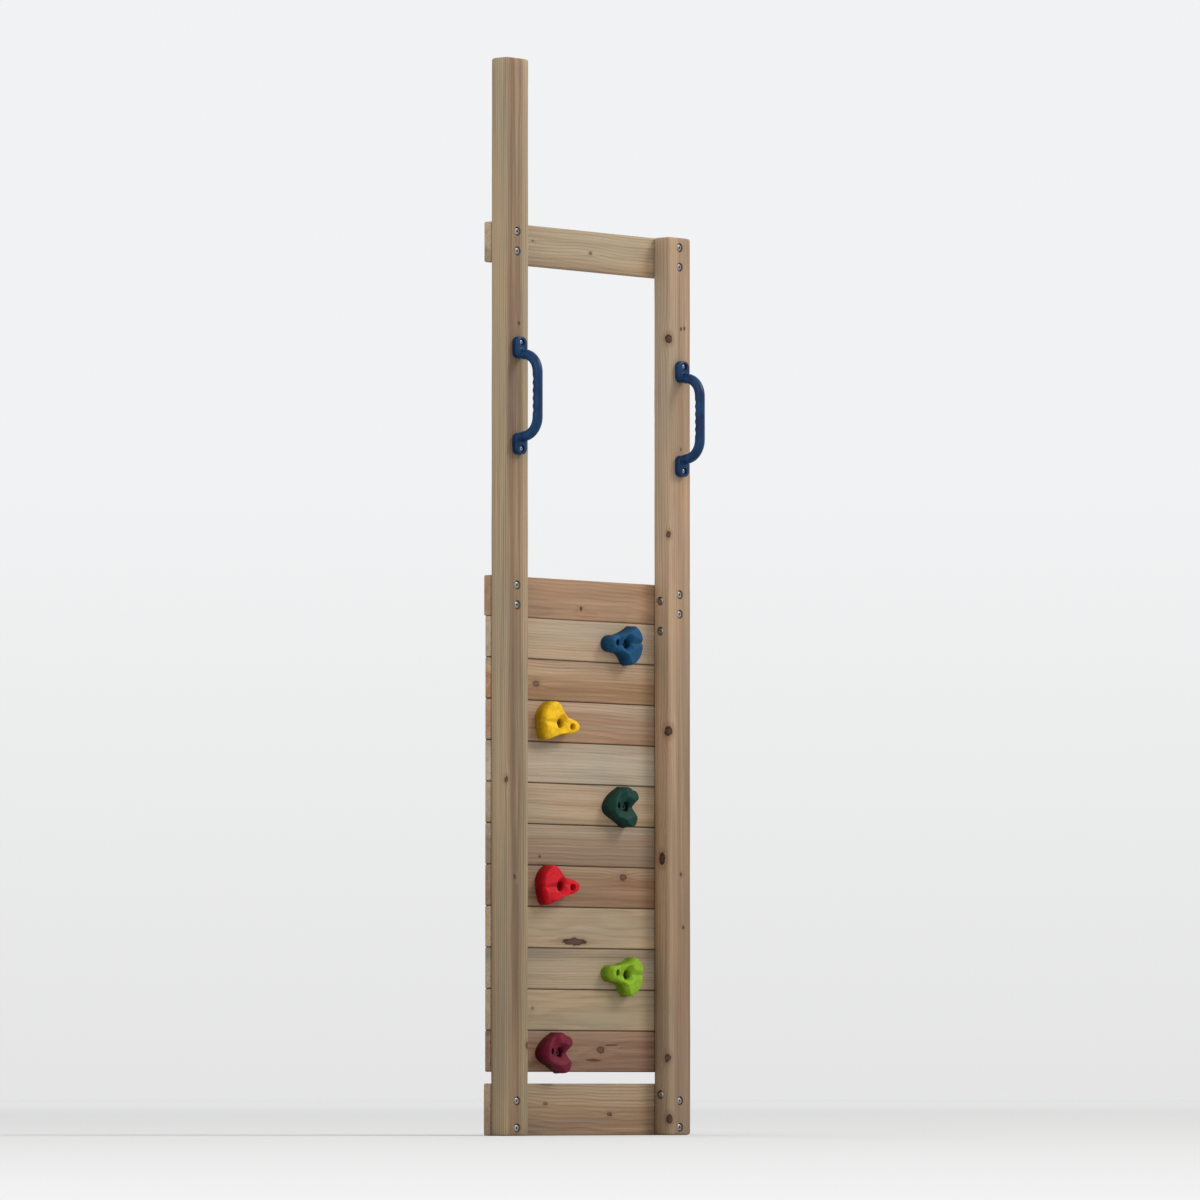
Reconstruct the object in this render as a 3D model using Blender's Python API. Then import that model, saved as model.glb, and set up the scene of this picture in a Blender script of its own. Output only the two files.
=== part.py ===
"""A timber climbing wall, which is one bay of a wooden play tower: posts, boards, moulded holds and grips.

The climber stands at -Y and faces +Y. X runs from the tall left post to the shorter right post, and +Z is up.
The origin is the middle of the base board's underside.
"""

import math

import bmesh
import bpy
from mathutils import Matrix, Vector

GAP = 0.0003  # air between pieces that touch

# Timber sections. A board's depth is its Y size.
POST_WIDTH, POST_DEPTH = 0.070, 0.045
LEFT_POST_HEIGHT, RIGHT_POST_HEIGHT = 2.280, 1.933
POST_CENTRES = 0.509
RAIL_DEPTH = 0.020
TOP_RAIL_HEIGHT, RIM_HEIGHT, BASE_HEIGHT = 0.086, 0.086, 0.110
WALL_BOARDS, WALL_BOARD_HEIGHT, WALL_BOARD_DEPTH = 11, 0.087, 0.016
BOARD_SEAM = 0.0005  # air between two wall boards
RIM_BOTTOM = 1.097

# Planes across the wall.
WALL_PLANE = -RAIL_DEPTH / 2 - GAP  # back faces of the posts
BACKING_PLANE = -RAIL_DEPTH / 2  # front faces of the boards and rails
POST_FRONT = WALL_PLANE - POST_DEPTH
POST_MIDDLE = WALL_PLANE - POST_DEPTH / 2
RAIL_BACK = BACKING_PLANE + RAIL_DEPTH
LEFT_X, RIGHT_X = -POST_CENTRES / 2, POST_CENTRES / 2
WALL_LENGTH = POST_CENTRES + POST_WIDTH
TOP_RAIL_BOTTOM = RIGHT_POST_HEIGHT - TOP_RAIL_HEIGHT

# Eased edges.
POST_EASE, BOARD_EASE = 0.005, 0.003

# Fasteners. Shanks, heads, barrels and bores are radii; sockets and nuts are measured across their flats.
CLEARANCE = 0.0005  # a bolt hole is this much larger than its shank, in radius
FRAME_SHANK, FRAME_HEAD, FRAME_HEAD_HEIGHT, FRAME_SOCKET = 0.0040, 0.0080, 0.0045, 0.0050
FRAME_NUT, FRAME_NUT_HEIGHT = 0.0130, 0.0064
FRAME_WASHER, FRAME_WASHER_DEPTH = 0.0100, 0.0016
FRAME_TIP = 0.0120  # from the washer's face to the end of the thread
COUNTERBORE, COUNTERBORE_DEPTH = 0.0100, 0.0060
BOLT_SPACING = 0.042
BASE_BOLT_HEIGHTS = (0.073, 0.016)
TIE_BOLT_HEIGHTS = (("upper", 1.147), ("lower", 1.082), ("foot", 0.086))
TIE_BOLT_SHIFT = 0.004  # from the middle of the post's depth, towards the wall
HOLD_SHANK, HOLD_HEAD, HOLD_HEAD_HEIGHT, HOLD_SOCKET = 0.0040, 0.0065, 0.0060, 0.0060
HOLD_WASHER, HOLD_WASHER_DEPTH = 0.0080, 0.0012
HOLD_TIP = 0.0060  # beyond the board's back face
T_NUT_BARREL, T_NUT_FLANGE, T_NUT_FLANGE_DEPTH = 0.0052, 0.0110, 0.0015
T_NUT_LENGTH = 0.0120
LOCK_SCREW = 0.0025
GRIP_SCREW, GRIP_SCREW_HEAD, GRIP_SCREW_HEAD_HEIGHT, GRIP_SCREW_SOCKET = 0.0030, 0.0060, 0.0032, 0.0040
GRIP_SCREW_LENGTH = 0.0430
GRIP_SCREW_SEAT = 0.0080  # thickness of plastic left under the head
GRIP_SCREW_INSET = 0.012  # from the end of a grip
THREAD_TAPER = 0.0008  # a thread's end is this much smaller in radius, over its last millimetre
TAPER_LENGTH = 0.0010
OVERCUT = 0.0020  # how far a bore's cutter reaches past a face
THROUGH = 0.090  # long enough to pass through a post and the board behind it, or across a post

# Grips.
GRIP_LENGTH, GRIP_REACH, GRIP_RADIUS = 0.250, 0.058, 0.0108
GRIP_BEND = 0.040  # radius of the bend at each end, on the bar's middle line
GRIP_PAD_WIDTH, GRIP_PAD_DEPTH, GRIP_PAD_HEIGHT, GRIP_PAD_CORNER = 0.034, 0.014, 0.046, 0.013
GRIP_BOTTOM = {"left": 1.437, "right": 1.415}
FINGERS, FINGER_PITCH, FINGER_DEPTH = 5, 0.0165, 0.0014

# Holds: name, column, board counted from the top, drop below the board's middle, mould, turn in degrees, colour.
LEFT_COLUMN, RIGHT_COLUMN = -0.102, 0.105  # where the main bolts are
HOLDS = (
    ("blue", RIGHT_COLUMN, 1, 0.003, "block", 0, (0.010, 0.110, 0.300)),
    ("yellow", LEFT_COLUMN, 3, 0.004, "block", 172, (0.830, 0.560, 0.020)),
    ("dark_green", RIGHT_COLUMN, 5, 0.001, "shell", 0, (0.010, 0.075, 0.060)),
    ("red", LEFT_COLUMN, 7, 0.0, "block", 180, (0.600, 0.010, 0.030)),
    ("lime", RIGHT_COLUMN, 9, 0.011, "block", -4, (0.240, 0.400, 0.030)),
    ("maroon", LEFT_COLUMN, 11, 0.002, "shell", 0, (0.170, 0.012, 0.045)),
)
# Corners of each mould's back face, anticlockwise seen from the climber's side: X and Z from the main bolt.
OUTLINES = {
    "block": (
        (0.050, 0.003), (0.047, 0.018), (0.042, 0.032), (0.035, 0.0395), (0.028, 0.040), (0.016, 0.033),
        (0.001, 0.026), (-0.018, 0.020), (-0.037, 0.018), (-0.050, 0.010), (-0.053, -0.004), (-0.044, -0.015),
        (-0.026, -0.018), (-0.012, -0.020), (-0.002, -0.027), (0.006, -0.038), (0.018, -0.0455), (0.034, -0.038),
        (0.046, -0.025), (0.051, -0.010),
    ),
    "shell": (
        (0.026, 0.002), (0.031, 0.012), (0.033, 0.024), (0.026, 0.034), (0.014, 0.038), (0.002, 0.043),
        (-0.012, 0.037), (-0.029, 0.027), (-0.043, 0.014), (-0.050, -0.001), (-0.046, -0.013), (-0.033, -0.022),
        (-0.018, -0.029), (-0.004, -0.037), (0.011, -0.045), (0.024, -0.042), (0.029, -0.030), (0.027, -0.014),
    ),
}
# Each mould's crown is the highest of its lobes, and a lobe is the lowest of its facets.
# A facet is (height at the main bolt, slope along X, slope along Z).
LOBES = {
    "block": (
        ((0.0250, -0.24, 0.02), (0.0055, -1.30, 0.00), (0.0420, 0.00, -0.75), (0.0410, 0.00, 0.85)),
        ((0.0408, -0.14, -0.06), (0.0295, -0.10, 0.80), (0.0622, 1.25, 0.00), (0.0650, -0.35, -0.70)),
        ((0.0392, -0.17, 0.10), (0.0300, 0.00, -0.70), (0.0368, 0.75, -0.10), (0.0560, -0.20, 0.50)),
        ((0.0365, -0.30, 0.12), (0.0485, 1.10, -0.10), (0.0235, -0.10, -0.60)),
    ),
    "shell": (
        ((0.0200, -0.40, 0.06), (0.1300, 2.10, 0.00), (0.0500, 0.10, -0.60), (0.0440, 0.00, 0.70)),
        ((0.0400, -0.05, -0.14), (0.0250, -0.10, 0.85), (0.0400, 0.90, 0.10)),
        ((0.0180, 0.10, -0.80), (0.0440, -0.10, 0.22), (0.0360, 0.45, -0.20)),
    ),
}
CREASE = 0.0025  # how far a crease between facets is rounded
# Rings from a mould's back edge up its side: how far inwards, and the share of the crown's height.
SIDE_RINGS = ((0.0, 0.0), (0.0008, 0.45), (0.0020, 0.80), (0.0045, 0.97))
CROWN_RINGS = (0.97, 0.86, 0.74, 0.62, 0.50, 0.38, 0.27, 0.12)  # then towards the middle, as shares of the last side ring
HOLD_SIDES = 40
HOLD_LOCK = {"block": (-0.0335, 0.0020), "shell": (-0.0275, 0.0020)}  # the second, smaller fixing
# A round dish is scooped out about the main bolt: its floor's height, the floor's radius, and the slope round it.
DISH_FLOOR, DISH_RADIUS, DISH_SLOPE = 0.0260, 0.0105, 1.25
HOLD_SEAT = 0.010  # thickness of plastic left under a bolt's head
LOCK_SEAT = 0.010  # and under the lock screw's
HOLD_RECESS, LOCK_RECESS = 0.0098, 0.0066

WOODS = {
    "tan": (0.40, 0.28, 0.17),
    "pink": (0.36, 0.21, 0.13),
    "brown": (0.30, 0.18, 0.11),
}


def clear_scene():
    for old in list(bpy.data.objects):
        bpy.data.objects.remove(old)


def material(name, colour, roughness=0.6, metallic=0.0):
    made = bpy.data.materials.new(name)
    made.use_nodes = True
    shader = made.node_tree.nodes["Principled BSDF"]
    shader.inputs["Base Color"].default_value = (*colour, 1.0)
    shader.inputs["Roughness"].default_value = roughness
    shader.inputs["Metallic"].default_value = metallic
    return made


def mesh_object(name, vertices, faces, finish=None, smooth_angle=None):
    mesh = bpy.data.meshes.new(name)
    mesh.from_pydata([tuple(v) for v in vertices], [], faces)
    built = bmesh.new()
    built.from_mesh(mesh)
    bmesh.ops.recalc_face_normals(built, faces=built.faces)
    built.to_mesh(mesh)
    built.free()
    if smooth_angle is not None:
        mesh.shade_smooth()
        mesh.set_sharp_from_angle(angle=math.radians(smooth_angle))
    made = bpy.data.objects.new(name, mesh)
    bpy.context.scene.collection.objects.link(made)
    if finish is not None:
        mesh.materials.append(finish)
    return made


def joined_rings(rings, looped=False):
    """Faces that join rings of equal length; the two ends are capped unless the last ring meets the first."""
    count = len(rings[0])
    vertices = [point for ring in rings for point in ring]
    faces = []
    pairs = len(rings) if looped else len(rings) - 1
    for k in range(pairs):
        a, b = k * count, (k + 1) % len(rings) * count
        for i in range(count):
            j = (i + 1) % count
            faces.append((a + i, a + j, b + j, b + i))
    if not looped:
        faces.append(tuple(range(count)))
        faces.append(tuple(range((len(rings) - 1) * count, len(rings) * count)))
    return vertices, faces


def hexagon(across_flats):
    """Radius of a hexagon at an angle from a corner."""
    def radius(angle):
        return across_flats / 2 / math.cos((angle % (math.pi / 3)) - math.pi / 6)
    return radius


def turned(name, sections, finish=None, sides=12, looped=False):
    """A solid on the Z axis from (z, radius) sections, where radius is a number or a function of the angle."""
    rings = []
    for z, radius in sections:
        ring = []
        for i in range(sides):
            angle = 2 * math.pi * i / sides
            r = radius(angle) if callable(radius) else radius
            ring.append((r * math.cos(angle), r * math.sin(angle), z))
        rings.append(ring)
    vertices, faces = joined_rings(rings, looped)
    return mesh_object(name, vertices, faces, finish, smooth_angle=35)


def box(name, size, centre, finish=None, ease=0.0, segments=1):
    x, y, z = (s / 2 for s in size)
    vertices = [(a * x, b * y, c * z) for a in (-1, 1) for b in (-1, 1) for c in (-1, 1)]
    faces = [(0, 1, 3, 2), (4, 6, 7, 5), (0, 4, 5, 1), (2, 3, 7, 6), (0, 2, 6, 4), (1, 5, 7, 3)]
    made = mesh_object(name, vertices, faces, finish)
    made.location = centre
    if ease:
        bevel = made.modifiers.new("eased edges", "BEVEL")
        bevel.width = ease
        bevel.segments = segments
    return made


def cut(target, cutter):
    cutter.hide_render = True
    cutter.display_type = "WIRE"
    difference = target.modifiers.new("cut " + cutter.name, "BOOLEAN")
    difference.operation = "DIFFERENCE"
    difference.object = cutter


def facing(direction):
    """Rotation that turns a solid's +Z to a direction along an axis."""
    return Vector((0, 0, 1)).rotation_difference(Vector(direction)).to_matrix().to_4x4()


def place(made, point, direction):
    made.matrix_world = Matrix.Translation(point) @ facing(direction)
    return made


FRONT, BACK, LEFT = (0, -1, 0), (0, 1, 0), (-1, 0, 0)


def drill(target, point, direction, bores):
    """Cuts coaxial bores from a piece. A bore is (from, to, radius), along direction from the point."""
    for start, end, radius in bores:
        cutter = turned("bore", [(start, radius), (end, radius)])
        cut(target, place(cutter, point, direction))


def frame_bolt_rows():
    """(rail name, the rail's bolt heights) for the three boards that tie the posts together."""
    middle = TOP_RAIL_BOTTOM + TOP_RAIL_HEIGHT / 2
    yield "rail", (middle + BOLT_SPACING / 2, middle - BOLT_SPACING / 2)
    middle = RIM_BOTTOM + RIM_HEIGHT / 2
    yield "rim", (middle + BOLT_SPACING / 2, middle - BOLT_SPACING / 2)
    yield "base", BASE_BOLT_HEIGHTS


def bolt_with_nut(name, grip, finish):
    """A pan-head socket bolt on +Z, its head's seat at 0 and its nut and washer drawn up at -grip."""
    r, nut, socket = FRAME_SHANK, hexagon(FRAME_NUT), hexagon(FRAME_SOCKET)
    tip = -grip - FRAME_TIP
    nut_seat = -grip - FRAME_WASHER_DEPTH
    sections = [
        (tip, r - THREAD_TAPER),
        (tip + TAPER_LENGTH, r),
        (nut_seat - FRAME_NUT_HEIGHT, r),
        (nut_seat - FRAME_NUT_HEIGHT, nut),
        (nut_seat, nut),
        (nut_seat, FRAME_WASHER),
        (-grip, FRAME_WASHER),
        (-grip, r),
        (0, r),
        (0, FRAME_HEAD),
        (FRAME_HEAD_HEIGHT * 0.45, FRAME_HEAD),
        (FRAME_HEAD_HEIGHT * 0.85, FRAME_HEAD * 0.82),
        (FRAME_HEAD_HEIGHT, FRAME_HEAD * 0.55),
        (FRAME_HEAD_HEIGHT, socket),
        (FRAME_HEAD_HEIGHT * 0.4, socket),
    ]
    return turned(name, sections, finish)


def counterbored():
    """The bores for a frame bolt, from the face it is driven into."""
    return [
        (-COUNTERBORE_DEPTH, OVERCUT, COUNTERBORE),
        (-THROUGH, -COUNTERBORE_DEPTH + OVERCUT, FRAME_SHANK + CLEARANCE),
    ]


def frame_bolts(posts, rails, steel):
    seat = POST_FRONT + COUNTERBORE_DEPTH
    grip = RAIL_BACK + GAP - (seat - GAP)
    for rail_name, heights in frame_bolt_rows():
        for side, x in (("left", LEFT_X), ("right", RIGHT_X)):
            for row, z in zip(("upper", "lower"), heights):
                front = Vector((x, POST_FRONT, z))
                drill(posts[side], front, FRONT, counterbored())
                drill(rails[rail_name], front, FRONT, counterbored()[1:])
                bolt = bolt_with_nut(f"{rail_name}_bolt_{side}_{row}", grip, steel)
                place(bolt, (x, seat - GAP, z), FRONT)


def tie_bolts(posts, steel):
    """Bolts through the right post along X, whose far ends take the next side's boards."""
    inner_face = RIGHT_X - POST_WIDTH / 2
    y = POST_MIDDLE + TIE_BOLT_SHIFT
    for row, z in TIE_BOLT_HEIGHTS:
        face = Vector((inner_face, y, z))
        drill(posts["right"], face, LEFT, counterbored())
        grip = POST_WIDTH - COUNTERBORE_DEPTH + 2 * GAP
        bolt = bolt_with_nut(f"tie_bolt_{row}", grip, steel)
        place(bolt, (inner_face + COUNTERBORE_DEPTH - GAP, y, z), LEFT)


def board_bottom(number):
    """Height of a wall board's lower edge; number 1 is the highest."""
    return RIM_BOTTOM - number * (WALL_BOARD_HEIGHT + BOARD_SEAM)


def catmull_rom(a, b, c, d, t):
    return b + t / 2 * (c - a + t * (2 * a - 5 * b + 4 * c - d + t * (3 * (b - c) + d - a)))


def outline_point(mould, share):
    """A point on a mould's outline, a closed smooth curve through its corners, at a share of the way round."""
    corners = OUTLINES[mould]
    k, t = divmod(share * len(corners), 1)
    four = [corners[(int(k) + step) % len(corners)] for step in (-1, 0, 1, 2)]
    return tuple(catmull_rom(*(corner[axis] for corner in four), t) for axis in (0, 1))


def edge_point(mould, share, inset):
    """A point on a mould's outline, moved inwards square to it."""
    x, z = outline_point(mould, share)
    (x0, z0), (x1, z1) = outline_point(mould, (share - 0.004) % 1), outline_point(mould, (share + 0.004) % 1)
    length = math.hypot(x1 - x0, z1 - z0)
    return x - inset * (z1 - z0) / length, z + inset * (x1 - x0) / length


def smooth_step(x, low, high):
    t = min(1.0, max(0.0, (x - low) / (high - low)))
    return t * t * (3 - 2 * t)


def rounded_least(values):
    """The least of some heights, with the crease between two of them rounded."""
    least = values[0]
    for value in values[1:]:
        blend = max(0.0, CREASE - abs(least - value)) / CREASE
        least = min(least, value) - blend * blend * CREASE / 4
    return least


def crown(mould, x, z):
    """Height of a mould's front above the board."""
    lobes = [rounded_least([c + a * x + b * z for c, a, b in facets]) for facets in LOBES[mould]]
    dish = DISH_FLOOR + DISH_SLOPE * max(0.0, math.hypot(x, z) - DISH_RADIUS)
    return rounded_least([-rounded_least([-height for height in lobes]), dish])


def hold(name, mould, finish):
    """A moulded hold on +Z, its main bolt on the axis: a flat back at 0, steep sides and a faceted crown."""
    rings = []
    inmost = SIDE_RINGS[-1][0]
    for inset, rise, scale in [(*ring, 1.0) for ring in SIDE_RINGS] + [(inmost, 1.0, k) for k in CROWN_RINGS]:
        ring = []
        for i in range(HOLD_SIDES):
            x, z = (scale * value for value in edge_point(mould, i / HOLD_SIDES, inset))
            ring.append((x, z, crown(mould, x, z) * rise))
        rings.append(ring)
    vertices, faces = joined_rings(rings)
    return mesh_object(name, vertices, faces, finish, smooth_angle=50)


def climbing_holds(boards, steel):
    for colour, x, number, drop, mould, turn, rgb in HOLDS:
        bolt_at = Vector((x, BACKING_PLANE, board_bottom(number) + WALL_BOARD_HEIGHT / 2 - drop))
        # The mould's own X, Y and Z go to the wall's X, Z and -Y.
        upright = Matrix.Rotation(math.pi / 2, 4, "X") @ Matrix.Rotation(math.radians(turn), 4, "Z")
        lock_at = bolt_at + (upright @ Vector((*HOLD_LOCK[mould], 0)))
        stone = hold("hold_" + colour, mould, material("plastic_" + colour, rgb, 0.45))
        stone.matrix_world = Matrix.Translation(bolt_at + Vector(FRONT) * GAP) @ upright
        shank_hole = HOLD_SHANK + CLEARANCE
        drill(stone, bolt_at, FRONT, [
            (HOLD_SEAT, THROUGH, HOLD_RECESS),
            (-OVERCUT, HOLD_SEAT + OVERCUT, shank_hole),
        ])
        drill(stone, lock_at, FRONT, [
            (LOCK_SEAT, THROUGH, LOCK_RECESS),
            (-OVERCUT, LOCK_SEAT + OVERCUT, LOCK_SCREW + CLEARANCE),
        ])
        barrel_start = WALL_BOARD_DEPTH - T_NUT_LENGTH
        drill(boards[number], bolt_at, BACK, [
            (barrel_start, WALL_BOARD_DEPTH + OVERCUT, T_NUT_BARREL + CLEARANCE),
            (-OVERCUT, barrel_start + OVERCUT, shank_hole),
        ])
        tip = -HOLD_SEAT - WALL_BOARD_DEPTH - HOLD_TIP
        bolt = turned("hold_bolt_" + colour, [
            (tip, HOLD_SHANK - THREAD_TAPER),
            (tip + TAPER_LENGTH, HOLD_SHANK),
            (0, HOLD_SHANK),
            (0, HOLD_WASHER),
            (HOLD_WASHER_DEPTH, HOLD_WASHER),
            (HOLD_WASHER_DEPTH, HOLD_HEAD),
            (HOLD_HEAD_HEIGHT, HOLD_HEAD),
            (HOLD_HEAD_HEIGHT + 0.0008, HOLD_HEAD - 0.0008),
            (HOLD_HEAD_HEIGHT + 0.0008, hexagon(HOLD_SOCKET)),
            (HOLD_HEAD_HEIGHT / 2, hexagon(HOLD_SOCKET)),
        ], steel)
        place(bolt, bolt_at + Vector(FRONT) * (HOLD_SEAT + GAP), FRONT)
        bore = HOLD_SHANK + GAP
        nut = turned("t_nut_" + colour, [
            (-T_NUT_LENGTH + GAP, bore),
            (-T_NUT_LENGTH + GAP, T_NUT_BARREL),
            (0, T_NUT_BARREL),
            (0, T_NUT_FLANGE),
            (T_NUT_FLANGE_DEPTH, T_NUT_FLANGE),
            (T_NUT_FLANGE_DEPTH, bore),
        ], steel, looped=True)
        place(nut, bolt_at + Vector(BACK) * (WALL_BOARD_DEPTH + GAP), BACK)


def grip_path():
    """(y, z) points along a grip, from its lower pad to its upper pad, with y measured out from the post."""
    foot = GRIP_PAD_HEIGHT - GRIP_RADIUS - 0.001
    lower = [(GRIP_PAD_DEPTH * 0.45, foot)]
    steps = 6
    for k in range(steps + 1):
        angle = math.pi / 2 * k / steps
        y = GRIP_REACH - GRIP_BEND + GRIP_BEND * math.sin(angle)
        lower.append((y, foot + 0.004 + GRIP_BEND - GRIP_BEND * math.cos(angle)))
    upper = [(y, GRIP_LENGTH - z) for y, z in reversed(lower)]
    first, last = lower[-1][1], upper[0][1]
    count = 4 * FINGERS
    middle = [(GRIP_REACH, first + (last - first) * k / count) for k in range(1, count)]
    return lower + middle + upper


def grip_bar(finish):
    """The bar of a grip: a round section swept along its path, scalloped for fingers on the post's side."""
    path = grip_path()
    sides = 12
    rings = []
    centre = GRIP_LENGTH / 2
    for k, (y, z) in enumerate(path):
        before, after = path[max(k - 1, 0)], path[min(k + 1, len(path) - 1)]
        along = Vector((0, after[0] - before[0], after[1] - before[1])).normalized()
        outward = Vector((0, along.z, -along.y))
        nearness = 1 - smooth_step(abs(z - centre), FINGERS * FINGER_PITCH / 2, FINGERS * FINGER_PITCH / 2 + 0.006)
        wave = (1 - math.cos(2 * math.pi * (z - centre) / FINGER_PITCH + math.pi * (FINGERS % 2))) / 2
        ring = []
        for i in range(sides):
            angle = 2 * math.pi * i / sides
            side_on, depth_on = math.sin(angle), math.cos(angle)
            r = GRIP_RADIUS - FINGER_DEPTH * nearness * wave * max(0.0, -depth_on)
            ring.append(Vector((0, y, z)) + outward * (r * depth_on) + Vector((r * side_on, 0, 0)))
        rings.append(ring)
    vertices, faces = joined_rings(rings)
    return mesh_object("grip_bar", vertices, faces, finish, smooth_angle=50)


def rounded_pad(name, finish):
    """One end pad: a slab with round ends in the XZ plane, 0 to its depth in Y."""
    half_width, half_height, corner = GRIP_PAD_WIDTH / 2, GRIP_PAD_HEIGHT / 2, GRIP_PAD_CORNER
    outline = []
    for quarter in range(4):
        cx = (half_width - corner) * (1 if quarter in (0, 3) else -1)
        cz = (half_height - corner) * (1 if quarter in (0, 1) else -1)
        for k in range(5):
            angle = math.pi / 2 * (quarter + k / 4)
            outline.append((cx + corner * math.cos(angle), cz + corner * math.sin(angle)))
    rings = []
    for y, inset in ((0, 0.0), (GRIP_PAD_DEPTH - 0.003, 0.0), (GRIP_PAD_DEPTH, 0.0035)):
        fx, fz = 1 - inset / half_width, 1 - inset / half_height
        rings.append([(x * fx, y, z * fz) for x, z in outline])
    vertices, faces = joined_rings(rings)
    return mesh_object(name, vertices, faces, finish, smooth_angle=50)


def unite(target, other):
    other.hide_render = True
    other.display_type = "WIRE"
    union = target.modifiers.new("join " + other.name, "BOOLEAN")
    union.operation = "UNION"
    union.object = other


def grips(posts, plastic, steel):
    for side, x in (("left", LEFT_X), ("right", RIGHT_X)):
        outward = Matrix.Translation((x, POST_FRONT - GAP, GRIP_BOTTOM[side])) @ Matrix.Scale(-1, 4, (0, 1, 0))
        bar = grip_bar(plastic)
        bar.name = "handle_" + side
        pads = []
        for height in (GRIP_PAD_HEIGHT / 2, GRIP_LENGTH - GRIP_PAD_HEIGHT / 2):
            pad = rounded_pad("pad", plastic)
            pad.data.transform(Matrix.Translation((0, 0, height)))
            pads.append(pad)
        for made in [bar] + pads:
            made.data.transform(outward)
            made.data.flip_normals()
        for pad in pads:
            unite(bar, pad)
        for row, inset in (("lower", GRIP_SCREW_INSET), ("upper", GRIP_LENGTH - GRIP_SCREW_INSET)):
            point = Vector((x, POST_FRONT - GAP, GRIP_BOTTOM[side] + inset))
            drill(bar, point, FRONT, [
                (GRIP_SCREW_SEAT, GRIP_PAD_DEPTH + OVERCUT, GRIP_SCREW_HEAD + CLEARANCE),
                (-OVERCUT, GRIP_SCREW_SEAT + OVERCUT / 2, GRIP_SCREW + CLEARANCE),
            ])
            depth = GRIP_SCREW_LENGTH - GRIP_SCREW_SEAT
            drill(posts[side], point, FRONT, [(-depth - OVERCUT, OVERCUT, GRIP_SCREW + GAP)])
            screw = turned(f"handle_screw_{side}_{row}", [
                (-GRIP_SCREW_LENGTH, 0.0006),
                (-GRIP_SCREW_LENGTH + 0.0040, GRIP_SCREW - 0.0006),
                (0, GRIP_SCREW),
                (0, GRIP_SCREW_HEAD),
                (GRIP_SCREW_HEAD_HEIGHT * 0.6, GRIP_SCREW_HEAD * 0.85),
                (GRIP_SCREW_HEAD_HEIGHT, GRIP_SCREW_HEAD * 0.45),
                (GRIP_SCREW_HEAD_HEIGHT, hexagon(GRIP_SCREW_SOCKET)),
                (GRIP_SCREW_HEAD_HEIGHT * 0.4, hexagon(GRIP_SCREW_SOCKET)),
            ], steel)
            place(screw, point + Vector(FRONT) * (GRIP_SCREW_SEAT + GAP), FRONT)


def main():
    clear_scene()
    woods = {name: material("wood_" + name, colour, 0.75) for name, colour in WOODS.items()}
    steel = material("galvanised_steel", (0.55, 0.56, 0.58), 0.35, 1.0)
    grip_plastic = material("plastic_grip", (0.0, 0.055, 0.165), 0.35)

    posts = {}
    for side, x, height in (("left", LEFT_X, LEFT_POST_HEIGHT), ("right", RIGHT_X, RIGHT_POST_HEIGHT)):
        centre = (x, POST_MIDDLE, height / 2)
        posts[side] = box("post_" + side, (POST_WIDTH, POST_DEPTH, height), centre, woods["tan"], POST_EASE, 2)

    rails = {}
    for key, name, bottom, height, wood in (
        ("rail", "top_rail", TOP_RAIL_BOTTOM, TOP_RAIL_HEIGHT, "tan"),
        ("rim", "rim_board", RIM_BOTTOM, RIM_HEIGHT, "pink"),
        ("base", "base_board", 0.0, BASE_HEIGHT, "brown"),
    ):
        centre = (0, BACKING_PLANE + RAIL_DEPTH / 2, bottom + height / 2)
        rails[key] = box(name, (WALL_LENGTH, RAIL_DEPTH, height), centre, woods[wood], BOARD_EASE)

    boards = {}
    for number in range(1, WALL_BOARDS + 1):
        centre = (0, BACKING_PLANE + WALL_BOARD_DEPTH / 2, board_bottom(number) + WALL_BOARD_HEIGHT / 2)
        size = (WALL_LENGTH, WALL_BOARD_DEPTH, WALL_BOARD_HEIGHT)
        wood = woods[("tan", "pink", "brown")[number % 3]]
        boards[number] = box(f"wall_board_{number:02d}", size, centre, wood, BOARD_EASE)

    frame_bolts(posts, rails, steel)
    tie_bolts(posts, steel)
    climbing_holds(boards, steel)
    grips(posts, grip_plastic, steel)


main()
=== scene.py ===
"""Looks of a timber climbing wall: one bay of a wooden play tower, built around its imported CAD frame.

The climber stands at -Y and faces +Y. X runs from the tall left post to the shorter right post, and +Z is up.
"""

import math

import bmesh
import bpy
from mathutils import Matrix, Vector, noise


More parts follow.
